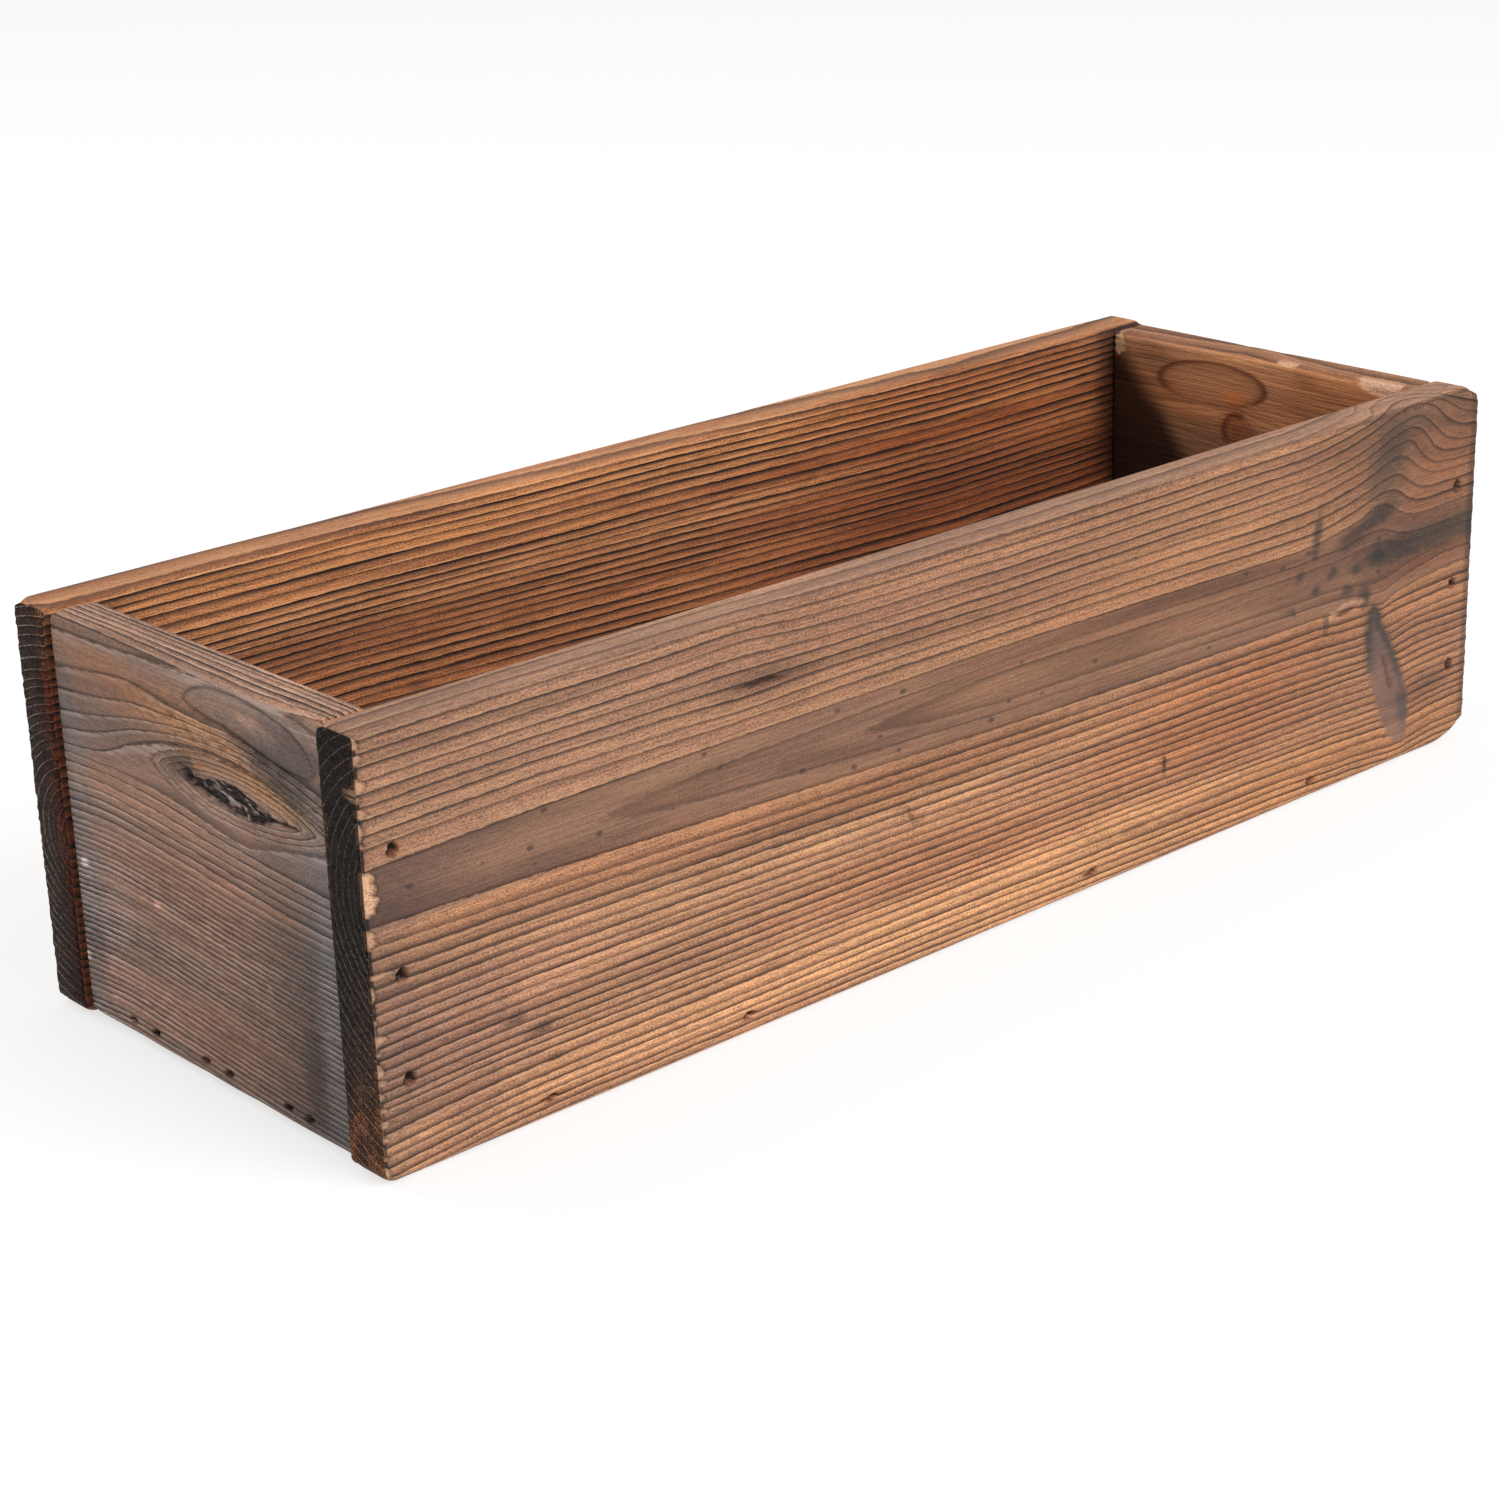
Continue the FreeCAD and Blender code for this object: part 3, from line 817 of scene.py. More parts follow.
def mottled(tree, early, noise, temper, crispness, mottle):
    """Early wood with the flecks and streaks that the brush leaves, and each ring a little apart in tone."""
    speck = ranged(tree, noise["stipple"], 0.3, 0.7, -mottle, mottle)
    fleck = ranged(tree, noise["flecks"], 0.3, 0.7, -0.6 * mottle, 0.6 * mottle)
    speck = number(tree, "MULTIPLY", speck, crispness)
    fleck = number(tree, "MULTIPLY", fleck, crispness)
    streak = ranged(tree, noise["streaks"], 0.3, 0.7, 0.8, 1.2)
    shade = number(tree, "ADD", number(tree, "ADD", speck, fleck), streak)
    shade = number(tree, "MULTIPLY", shade, ranged(tree, temper, 0.3, 0.7, 1.14, 0.86))
    return blend(tree, 1.0, early, grey(tree, shade), "MULTIPLY")


def ring_lines(tree, noise, phase, temper, late_wood, crispness, line_strength, highlight_strength):
    """The share of the dark late wood lines, and of the painted highlight on the crests that the brush raises
    past them.
    """
    whole = ranged(tree, noise["streaks"], 0.25, 0.6, 0.7, 1.0)
    broken = number(tree, "MULTIPLY", whole, ranged(tree, temper, 0.3, 0.6, 0.6, 1.0))
    line = number(tree, "MULTIPLY", number(tree, "MULTIPLY", late_wood, broken), line_strength)
    line = number(tree, "MULTIPLY", line, crispness)
    bright = ranged(tree, noise["streaks"], 0.4, 0.6, 0.2, highlight_strength)
    crest_highlight = number(tree, "MULTIPLY", ranged(tree, phase, 0.34, 0.04), bright)
    crest_highlight = number(tree, "MULTIPLY", crest_highlight, crispness)
    return line, crest_highlight


def sawn_end(tree, noise, phase, haze, crispness):
    """A sawn end: charred black, brown in patches where there is haze, with paler ring lines."""
    char_black, char_grey = (0.003, 0.002, 0.0015), (0.036, 0.024, 0.019)
    brown, dark_brown, burnt_brown = (0.4, 0.17, 0.075), (0.1, 0.038, 0.02), (0.035, 0.014, 0.008)
    pale_ring_line, brown_line = (0.27, 0.23, 0.21), (0.55, 0.3, 0.16)
    blackened = blend(tree, ranged(tree, noise["stipple"], 0.34, 0.66), char_black, char_grey)
    browned = blend(tree, ranged(tree, phase, 0.35, 0.8), brown, dark_brown)
    browned = blend(tree, ranged(tree, noise["stipple"], 0.36, 0.62), burnt_brown, browned)
    brown_share = number(tree, "MULTIPLY", haze, ranged(tree, noise["scorch"], 0.4, 0.62, 0.2, 1.0))
    wood = blend(tree, brown_share, blackened, browned)
    past_line = ranged(tree, phase, 0.94, 0.995, 1.0, 0.0)
    line = number(tree, "MULTIPLY", ranged(tree, phase, 0.82, 0.93), past_line)
    line = number(tree, "MULTIPLY", line, ranged(tree, noise["flecks"], 0.38, 0.58, 0.15, 1.0))
    line = number(tree, "MULTIPLY", line, crispness)
    return blend(tree, line, wood, blend(tree, haze, pale_ring_line, brown_line))


def scorched_wood(name, colours, line_strength, mottle, highlight_strength, seed):
    """Torched and brushed softwood. Its rings, stains, painted light and wear come from the board, and its
    colours are those of fresh early wood, scorched early wood, late wood, the grey haze of soot and of
    painted sheen, and the painted highlight on the brushed crests."""
    light, scorched, late, haze_colour, crest_highlight_colour = colours
    pore_brown = (0.055, 0.035, 0.03)
    torn_pale, torn_brown = (0.9, 0.55, 0.34), (0.45, 0.2, 0.11)
    coal_black, coal_grey = (0.012, 0.01, 0.009), (0.075, 0.06, 0.055)
    material = bpy.data.materials.new(name)
    tree = empty_tree(material)
    ring_count = node_of(tree, "ShaderNodeAttribute", attribute_name="rings").outputs["Fac"]
    late_share = node_of(tree, "ShaderNodeAttribute", attribute_name="late").outputs["Fac"]
    grain = node_of(tree, "ShaderNodeAttribute", attribute_name="grain").outputs["Vector"]
    tint = node_of(tree, "ShaderNodeAttribute", attribute_name="tint")
    wear = node_of(tree, "ShaderNodeAttribute", attribute_name="wear")
    channels = node_of(tree, "ShaderNodeSeparateColor")
    wire(tree, (wear.outputs["Color"], channels.inputs[0]))
    raw, worn, coal = channels.outputs
    haze = tint.outputs["Alpha"]

    # Noise that runs with the grain
    noise = {
        "streaks": fibres(tree, grain, (35, 1500, 1500), 3.0, 3.0 + seed),
        "stipple": fibres(tree, grain, (1300, 2200, 2200), 1.5, 11.0 + seed),
        "flecks": fibres(tree, grain, (260, 1500, 1500), 2.0, 23.0 + seed),
        "scorch": fibres(tree, grain, (9, 170, 130), 4.0, 7.0 + seed),
    }
    phase, ring, late_wood = growth_rings(tree, ring_count, late_share, noise["flecks"])
    temper = fibres(tree, grain, (11, 2, 2), 1.5, 31.0 + seed, ring)
    crispness = number(tree, "SUBTRACT", 1.0, number(tree, "MULTIPLY", worn, 0.6))

    # The face: early wood, its ring lines and the painted highlight on its crests, the board's stains with
    # their painted light, and dots where it is worn smooth
    early = blend(tree, ranged(tree, noise["scorch"], 0.28, 0.78), light, scorched)
    # Early wood is lighter just past each line, partly as its own colour and partly as a painted highlight
    early = blend(tree, number(tree, "MULTIPLY", ranged(tree, phase, 0.3, 0.02), 0.35), early, light)
    # Grey haze of soot, which on the end boards is also a painted sheen
    early = blend(tree, haze, early, haze_colour)
    early = mottled(tree, early, noise, temper, crispness, mottle)
    line, crest_highlight = ring_lines(tree, noise, phase, temper, late_wood, crispness, line_strength, highlight_strength)
    # Painted highlight on the crests past each line
    lined = blend(tree, crest_highlight, blend(tree, line, early, late), crest_highlight_colour)
    stained = blend(tree, 1.0, lined, tint.outputs["Color"], "MULTIPLY")
    smoothed = ranged(tree, worn, 0.62, 0.8, 0.0, 0.75)
    smoothed = number(tree, "MULTIPLY", smoothed, ranged(tree, worn, 1.2, 0.95))
    dotted = number(tree, "MULTIPLY", dots(tree, grain, (110, 9, 180), 0.18), smoothed)
    stained = blend(tree, dotted, stained, pore_brown)

    # Torn wood, sawn ends and coal over it
    torn = blend(tree, ranged(tree, noise["stipple"], 0.42, 0.75), torn_pale, torn_brown)
    face = blend(tree, raw, stained, torn)
    end_wood = sawn_end(tree, noise, phase, haze, crispness)
    end_wood = blend(tree, 1.0, end_wood, tint.outputs["Color"], "MULTIPLY")
    end_share = number(tree, "MULTIPLY", wear.outputs["Alpha"], number(tree, "SUBTRACT", 1.0, raw))
    colour = blend(tree, end_share, face, end_wood)
    charcoal_lump = blend(tree, ranged(tree, noise["flecks"], 0.4, 0.6), coal_black, coal_grey)
    colour = blend(tree, coal, colour, charcoal_lump)

    # Burnt wood is dull, and the fibres stand up between creased late wood lines
    surface = node_of(tree, "ShaderNodeBsdfPrincipled")
    bump = node_of(tree, "ShaderNodeBump")
    bump.inputs["Strength"].default_value = 0.8
    bump.inputs["Distance"].default_value = 0.0004
    swell = number(tree, "ADD", noise["stipple"], noise["streaks"])
    swell = number(tree, "ADD", swell, number(tree, "MULTIPLY", noise["flecks"], 0.5))
    creased = number(tree, "MULTIPLY", late_wood, crispness)
    burnt = number(tree, "MAXIMUM", end_share, coal)
    output = node_of(tree, "ShaderNodeOutputMaterial")
    wire(
        tree,
        (colour, surface.inputs["Base Color"]),
        (ranged(tree, burnt, 0.0, 1.0, 0.35, 0.06), surface.inputs["Specular IOR Level"]),
        (ranged(tree, noise["streaks"], 0.2, 0.8, 0.48, 0.7), surface.inputs["Roughness"]),
        (number(tree, "SUBTRACT", swell, creased), bump.inputs["Height"]),
        (bump.outputs[0], surface.inputs["Normal"]),
        (surface.outputs[0], output.inputs["Surface"]),
    )
    return material


front_colours = (
    (0.65, 0.33, 0.172), (0.4, 0.19, 0.108), (0.06, 0.026, 0.017), (0.27, 0.17, 0.145), (0.72, 0.41, 0.23))
front_board.data.materials.append(scorched_wood("front_board_wood", front_colours, 1.0, 0.35, 0.5, 0.0))
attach(front_board, "root")
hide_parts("front_board")

# Back board: a second board from the same kind of log, nailed behind the end boards. Its pith lies just
# outside its inner face, so the rings run there as even parallel lines, which painted shade darkens down in
# the trough.
side_corner_radius = 5.0
saw_cut_radius = 1.2
back_pith_height = 51.0
back_pith_depth = 20.0

back_along = stops(-side_end, (-214, 0.8), (214, 6), (side_end, 0.8))
back_along = around(back_along, [-corner_brad_along, corner_brad_along], (0.6, 1.2, 1.8))
back_along = around(back_along, [-place[0] for place in side_floor_brads], (0.6, 1.2, 1.8))
back_up = stops(0, (side_height, 0.42))
back_mesh, back_axes = blank_board("back_board_wood", back_along, front_into, back_up)
along, into, up = eased_board(back_axes, side_arris_radius, side_corner_radius, saw_cut_radius)

# How far each growth ring's late wood lies from the pith, as the sum of the rings' widths
back_ring_radii = np.cumsum((
    2.0, 2.2, 2.5, 2.4, 2.6, 2.3, 2.6, 3.2, 2.8, 3.0, 2.4, 2.4, 2.4, 2.6, 2.6, 2.4, 2.6, 2.4, 2.8, 3.4,
    3.2, 2.8, 2.4, 2.6, 2.4, 2.4, 2.6, 2.8, 2.6, 2.4, 2.6, 2.6))


def back_rise(along, up):
    """The grain falls to the right and turns up again at the right end."""
    fall = np.interp(along, (-side_end, -120, 120, 190, side_end), (2.4, 2.3, -2.6, -1.6, -0.5))
    return fall * (1.35 - 0.5 * smooth(up, 75, 105))


wander = 0.35 * cloud(along, up, (64, 14), 41) + 0.15 * cloud(along, up, (18, 5), 42)
from_pith = straightened(along, up, back_rise) - back_pith_height + wander
radius = np.sqrt(from_pith**2 + (back_pith_depth - into) ** 2)
rings = np.interp(radius, back_ring_radii, np.arange(len(back_ring_radii))) + late_wood_phase

# The sawn ends are brown towards the trough
back_surface = plain_surface(back_axes)
on_end, on_face, on_inside, on_top = board_sides(back_axes, back_surface, into, up, side_face_edge)
back_end_brown = 0.55 * smooth(into, 7, 14) * smooth(up, 20, 60)
back_end_brown = back_end_brown + patch(into, up, (13, 114), (5, 5), 0, 0.6, 0.4)
back_surface["haze"] = np.clip(back_end_brown + 0.08, 0, 1) * on_end
stain(back_surface, smooth(into, 6, 12) * smooth(up, 108, 96) * on_end, (0.9, 0.5, 0.45))
stain(back_surface, smooth(into, 9, 4) * on_end, (1.7, 1.75, 1.75))
back_surface["worn"] = 0.6 * on_top

# Marks on the inner side, which is darker lower down, where painted shade stands for the front board's
# shadow, and towards its ends
back_inside_stains = (
    ((0, 112), (190, 6), 0, amber, 0.6),
    ((110, 108), (70, 7), 0, amber, 0.5),
    ((100, 98), (120, 4), -1, (0.72, 0.52, 0.42), 0.75),
    ((-120, 84), (70, 8), 0, soot, 0.4),
    ((150, 76), (60, 12), 0, soot, 0.35),
    ((50, 82), (50, 7), 0, amber, 0.25),
    # Painted shade of the front board over the lower half
    ((0, 40), (210, 36), 0, soot, 0.3),
    ((-99, 66), (3, 1.8), 0, ash, 0.8),
    ((110, 102), (8, 1.2), 0, soot, 0.5),
    ((20, 99), (6, 1.5), 0, soot, 0.4),
)
stain_all(back_surface, along, up, on_inside, back_inside_stains)
# Charring and painted shade in the right corner, widening downwards
stain(back_surface, smooth(along, 186 + 0.12 * (side_height - up), 200) * on_inside, (0.16, 0.13, 0.13))
stain(back_surface, 0.5 * smooth(along, -185, -203) * on_inside, soot)
# Dark rust brown at the left end: char, and painted shade on the inner side of the overhang past the end
# board
stain(back_surface, smooth(along, -214.5, -216.5) * on_inside, (0.3, 0.2, 0.14))
stain(back_surface, smooth(along, 10, 110) * on_inside, (0.78, 0.66, 0.58))
# Painted shade of the front board, darker lower down
stain(back_surface, smooth(up, 96, 84) * on_inside, (0.86, 0.78, 0.76))
stain(back_surface, smooth(up, 96, 84) * smooth(along, -20, 60) * on_inside, (0.86, 0.8, 0.78))
back_surface["late"] = 0.6 + 0.25 * on_inside

# Marks on the outer side
back_face_stains = (
    ((-120, 30), (70, 16), 4, soot, 0.4),
    ((60, 84), (90, 14), -3, russet, 0.5),
    ((140, 24), (60, 14), 0, amber, 0.5),
    ((-60, 98), (90, 10), 0, smoke, 0.4),
    ((10, 56), (50, 12), 0, soot, 0.25),
    ((-30, 26), (4, 1.3), 0, ash, 0.6),
    ((96, 61), (5, 1.4), 10, ash, 0.6),
)
stain_all(back_surface, along, up, on_face, back_face_stains)
stain(back_surface, smooth(np.abs(along), 211, 217) * on_face, smoke)
# Painted sheen: a pale bluish grey over the top edge
stain(back_surface, on_top, (0.86, 0.88, 0.95))
relief = ring_relief(rings, 0.13) * (1 - on_end) * (1 - 0.85 * smooth(np.abs(along), 207, 217))
relief = relief - on_end * 0.18 * (1 + cloud(into * 3, up, (2.5, 1.1), 22))
for place in corner_brads:
    sink_hole(back_surface, relief, along, up, on_face, place, (1.1, 1.6), 10, 1.5)
for place in side_floor_brads:
    sink_hole(back_surface, relief, along, up, on_face, (-place[0], place[1]), (1.6, 0.95), -12, 1.5)

facing_back = ((1, 0, 0, 0), (0, -1, 0, side_face), (0, 0, 1, 0))
back_board = add_board(
    "back_board_wood", back_mesh, (along, into, up), rings, back_surface, relief, facing_back)
back_colours = (
    (0.77, 0.33, 0.132), (0.49, 0.18, 0.073), (0.022, 0.008, 0.005), (0.19, 0.13, 0.12), (1.0, 0.52, 0.24))
back_board.data.materials.append(scorched_wood("back_board_wood", back_colours, 1.15, 0.35, 0.9, 40.0))
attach(back_board, "root")
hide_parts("back_board")

# Left end board: cut from close-grained wood, set between the long boards and nailed through them.
# A black bark-filled knot breaks its face near the top, and the grain flows round it.
end_half_length = 62.0
end_bottom = 1.0
end_top = 117.0
end_thickness = 15.0
end_face = 216.0
end_arris_radius = 3.0
end_corner_radius = 2.5
end_face_edge = (2.4, 0.8)
end_floor_brads = ((-39.6, 6.0), (-28.6, 6.0), (-4.6, 6.0), (6.1, 6.0), (33.1, 6.0), (42.6, 6.0))

# Heights of the upper grain lines at places along the board. The knot splits the two lines at its gap.
line_stations = (-62, -42, -24, -8, 8, 24, 42, 62)
lines_above_knot = (
    (119.5, 119.5, 119.8, 120.0, 120.3, 120.5, 120.0, 118.0),
    (113.2, 113.8, 114.6, 115.3, 116.0, 117.2, 116.4, 113.0),
    (102.2, 104.8, 106.4, 104.4, 103.6, 103.4, 100.4, 96.6),
    (96.0, 98.2, 100.8, 101.4, 101.8, 101.4, 98.6, 93.8),
    (90.0, 92.8, 96.6, 98.8, 100.0, 99.6, 96.6, 91.4),
    (84.8, 88.2, 93.4, 96.4, 98.0, 98.0, 94.8, 89.6),
    (80.2, 83.0, 89.8, 94.2, 96.4, 96.4, 93.2, 88.2),
)
lines_below_knot = (
    (78.0, 79.2, 79.3, 78.4, 76.4, 74.8, 78.6, 82.4),
    (75.4, 76.8, 76.8, 75.8, 74.0, 72.8, 71.8, 70.8),
    (72.4, 73.8, 73.4, 72.4, 71.0, 70.0, 69.0, 68.2),
    (69.8, 71.0, 70.4, 69.4, 68.2, 67.2, 66.2, 65.6),
)
knot_middle = (20.0, 87.0)
knot_reach = 1.915

# The knot's black eye: places along, and the heights of its lower and upper edge there
eye_stations = (-1, 3, 7, 10, 15, 20, 25, 28, 32, 35, 38, 42, 48)
eye_bottom = (86.6, 85.0, 84.4, 83.7, 83.0, 82.4, 82.2, 82.3, 82.7, 84.0, 84.8, 85.0, 86.0)
eye_top = (87.4, 87.6, 88.2, 89.0, 90.1, 90.4, 89.7, 88.5, 87.4, 86.4, 85.9, 86.0, 86.2)

# The island of grain near the top right, drawn in the same way
island_stations = (1, 5, 10, 20, 30, 40, 50, 55, 58)
island_bottom = (108.3, 107.0, 106.0, 105.0, 103.0, 100.9, 100.3, 100.8, 103.0)
island_top = (108.7, 111.5, 113.3, 114.4, 114.3, 113.0, 110.3, 107.0, 103.4)


def left_rings(along, up):
    """How many growth rings lie above each point, counted from the topmost line."""
    up = up + 0.2 * cloud(along, up, (34, 7), 51) + 0.08 * cloud(along, up, (9, 3), 52)
    heights = [curve_through(line_stations, line, along) for line in lines_above_knot + lines_below_knot]
    count = sum(np.clip((upper - up) / (upper - lower), 0, 1) for upper, lower in zip(heights, heights[1:]))
    below = np.maximum(heights[-1] - up, 0)
    return count + below / 2.6 + 0.19 * np.maximum(below - 10, 0) ** 1.06 - 0.06 * np.maximum(below - 40, 0)


def knot_distance(along, up):
    """0 in the middle of the knot, growing outwards through the loops of grain round it."""
    run = along - knot_middle[0]
    rise = up - knot_middle[1] + 0.012 * run
    left, right = np.maximum(-run, 0) / 24, np.maximum(run, 0) / 30
    lens = (left**2 + right**2) + (np.abs(rise) / np.where(rise > 0, 4.4, 4.8)) ** 1.35
    return lens**0.75


end_along = stops(-end_half_length, (-58, 0.6), (58, 1.15), (end_half_length, 0.6))
end_along = around(end_along, [place[0] for place in end_floor_brads], (0.6, 1.2, 2.0))
end_into = stops(0, (3, 0.75), (12, 3), (end_thickness, 0.75))
end_up = stops(end_bottom, (66, 0.4), (end_top, 0.45))
left_mesh, left_axes = blank_board("left_end_board_wood", end_along, end_into, end_up)
along, into, up = eased_board(left_axes, end_arris_radius, end_corner_radius, saw_cut_radius)

left_surface = plain_surface(left_axes)
on_end, on_face, on_inside, on_top = board_sides(left_axes, left_surface, into, up, end_face_edge)

# Grain that flows over the face, with closed loops round the knot, numbered up to 40
rings = left_rings(along, up + 0.35 * into) + 0.5 * into * on_top + late_wood_phase
around_eye = knot_distance(along, up)
upper_limit = curve_through(line_stations, lines_above_knot[-1], along)
lower_limit = curve_through(line_stations, lines_below_knot[0], along)
in_knot = (up < upper_limit) & (up > lower_limit) & (around_eye < knot_reach)
loops = 40 + late_wood_phase + 3.4 * (around_eye - knot_reach) + 0.12 * cloud(along, up, (8, 2), 53)
rings = np.where(in_knot, loops, rings)

# The black eye with its ragged edge, and the island's outline
ragged = 0.35 * cloud(along, up, (2.4, 1.3), 54)
over_eye = up - np.interp(along, eye_stations, eye_bottom) + ragged
under_eye = np.interp(along, eye_stations, eye_top) - up + ragged
beside_eye = np.minimum(along - eye_stations[0], eye_stations[-1] - along)
black_eye = smooth(np.minimum.reduce([over_eye, under_eye, beside_eye]), -0.35, 0.35) * on_face
black_eye = np.maximum(black_eye, 0.9 * patch(along, up, (1.0, 87.6), (3.4, 1.3), -32, 0.3, 0.5) * on_face)
over_island = up - curve_through(island_stations, island_bottom, along)
over_island_top = up - curve_through(island_stations, island_top, along)
beside_island = smooth(along, 0, 2) * smooth(along, 59, 57)
island_line = (hill(over_island, 0, 0.5) + hill(over_island_top, 0, 0.5)) * beside_island * on_face
on_island = smooth(over_island, -0.5, 1) * smooth(over_island_top, 0.5, -1) * beside_island * on_face

left_stains = (
    ((10, 98), (40, 7), -4, (1.27, 1.14, 0.88), 0.8),
    ((40, 91), (18, 3.5), -14, (1.27, 1.14, 0.84), 0.7),
    ((-10, 104), (22, 5), 0, (1.25, 1.1, 0.85), 0.7),
    ((-42, 107), (20, 5), 4, (1.26, 1.12, 0.94), 0.6),
    ((-30, 74), (36, 6), 0, (1.2, 1.1, 0.9), 0.7),
    ((-45, 88), (20, 9), 0, (0.86, 0.92, 1.0), 0.7),
    ((47, 104), (17, 9), 0, (0.45, 0.52, 0.6), 0.85),
    ((52, 93), (13, 5), -10, (0.55, 0.62, 0.68), 0.7),
    ((-44, 103), (22, 12), 0, (0.75, 0.66, 0.61), 0.9),
    ((-15, 103), (18, 10), 0, (0.95, 0.88, 0.84), 0.8),
    ((46, 103), (14, 9), 0, (0.78, 0.76, 0.8), 0.9),
    ((0, 58), (36, 14), 0, (1.14, 1.04, 0.97), 0.9),
    ((40, 77), (22, 3.5), 6, (0.95, 1.05, 1.2), 0.8),
    ((27, 77), (7, 2), 6, (1.4, 1.15, 1.0), 0.6),
    ((-2.5, 89.2), (7.5, 3.2), 14, (0.34, 0.33, 0.32), 0.9),
    ((1.5, 87), (2.5, 2), 0, (0.3, 0.22, 0.2), 0.8),
    ((5.5, 91), (3, 1.6), 10, (1.3, 0.95, 0.65), 0.8),
    ((0, 42), (44, 24), 0, (1.08, 0.96, 0.88), 0.7),
    ((0, 14), (50, 9), 0, (1.14, 1.0, 0.95), 0.7),
    ((-45, 80), (26, 10), 0, (0.93, 0.89, 0.9), 0.9),
    ((-14, 80), (16, 10), 0, (0.94, 0.9, 0.9), 0.9),
    ((14, 78), (14, 5), 0, (1.12, 1.12, 1.17), 0.9),
    ((12, 100), (14, 7), 0, (1.1, 1.05, 0.97), 0.8),
    ((42, 80), (16, 9), 0, (0.92, 0.9, 0.9), 0.9),
    ((-46, 38), (18, 11), 0, (1.03, 1.09, 1.15), 0.9),
    ((-34, 15), (26, 10), 0, (1.1, 1.06, 1.04), 0.9),
    ((22, 18), (20, 16), 0, (0.93, 0.9, 0.89), 0.9),
    ((-2, 27), (50, 4), 0, (0.88, 0.88, 0.88), 0.5),
    ((47, 20), (4.5, 13), 0, (0.4, 0.35, 0.32), 0.85),
    # Painted highlight: a pale bluish strip along the front edge of the face
    ((57, 34), (4.6, 30), 0, (1.5, 1.62, 1.75), 0.85),
    ((-55, 20), (4, 10), 0, (0.6, 0.55, 0.52), 0.7),
    ((42, 45), (9, 24), 0, (0.82, 0.82, 0.8), 0.6),
    ((-57, 47), (1.6, 1.3), 0, (3.2, 3.6, 4.0), 1.0),
    ((-60.5, 19), (1.6, 1.1), 0, (3.2, 3.6, 4.0), 1.0),
    ((-21, 45.5), (1.2, 0.7), 0, (2.6, 2.8, 3.0), 0.9),
    ((30, 37.5), (1.2, 0.6), 0, (2.4, 2.6, 2.8), 0.8),
    ((19, 20), (1.2, 0.6), 0, (2.4, 2.6, 2.8), 0.8),
)
stain_all(left_surface, along, up, on_face, left_stains)
stain(left_surface, 0.5 * on_island, (0.85, 0.9, 0.98))
stain(left_surface, patch(along, up, (35, 107.7), (9.5, 2.3), -11, 0.3, 0.35) * on_face, (1.5, 1.45, 1.4))
stain(left_surface, np.minimum(island_line, 1), (0.34, 0.31, 0.31))
stain(left_surface, on_top, (0.96, 0.87, 0.78))
stain(left_surface, smooth(along, 0, 40) * on_top, (1.2, 1.22, 1.24))
stain(left_surface, smooth(along, 59.5, 61.0) * on_top, (1.1, 0.8, 0.5))

# Painted sheen: a grey haze drifts in from both ends of the face, which is a little hazy all over, and the
# brush has smoothed the wood in bands
drift = 4 * cloud(along, up, (9, 16), 57)
right_sheen = smooth(along + drift, 38, 58) * smooth(up, 104, 74)
left_sheen = 0.8 * smooth(along - drift, -46, -60) * smooth(up, 116, 100)
left_surface["haze"] = on_face * (0.1 + 0.75 * np.maximum(right_sheen, left_sheen))
fan = patch(along, up, (43, 96), (25, 6), -8, 0.4)
brushed_flat = 0.1 + 0.4 * smooth(up, 46, 56) + 0.7 * np.maximum(cloud(along, up, (34, 4.5), 59), 0)
left_surface["worn"] = np.minimum(brushed_flat, 0.6) * on_face * (1 - fan)

# Pale threads cross the coal of the eye, and fibres are pulled out above it
threads = hill(cloud(along, up + 0.3 * along, (4, 1.6), 55), 0, 0.16) * black_eye * smooth(along, 38, 30)
left_surface["coal"] = black_eye * (1 - 0.85 * threads)
left_surface["haze"] = np.maximum(left_surface["haze"], threads)
stain(left_surface, threads, (2.4, 2.5, 2.5))
# Painted shade and warm bounce light: the inner side, which faces into the trough, is redder
stain(left_surface, on_inside, (1.1, 0.85, 0.7))
pulled = np.maximum(cloud(along, up, (1.9, 0.8), 58), 0) * on_face
pulled = pulled * patch(along, up, (5, 101), (30, 8), -3, 0.5)
stain(left_surface, 0.9 * pulled, soot)
left_surface["late"] = 0.35 + 0.6 * smooth(up, 72, 58) + 0.4 * on_top
left_surface["late"] -= 0.2 * smooth(along, -8, -30) * smooth(up, 74, 80)
stain(left_surface, smooth(along, 12, 50) * smooth(up, 90, 40) * on_face, (0.56, 0.56, 0.58))
stain(left_surface, smooth(along, -20, 10) * smooth(up, 30, 15) * on_face, (0.9, 0.87, 0.85))
stain(left_surface, smooth(along, -24, -44) * smooth(up, 76, 66) * on_face, (1.14, 1.14, 1.18))
for line in range(6):
    burnt_line = patch(along, up, (30 + 2.5 * line, 102.6 - 1.8 * line), (13, 0.7), -13, 0.6, 0.4) * on_face
    stain(left_surface, 0.8 * burnt_line, ash)

relief = ring_relief(rings, 0.25) * (1 - on_end) * (1 - 0.6 * left_surface["worn"])
relief = relief - black_eye * (1.0 + 0.5 * cloud(along, up, (2.5, 1.2), 56)) - 0.3 * pulled
relief = relief - 0.25 * island_line
for place in end_floor_brads:
    sink_hole(left_surface, relief, along, up, on_face, place, (1.9, 0.9), 14, 1.7)

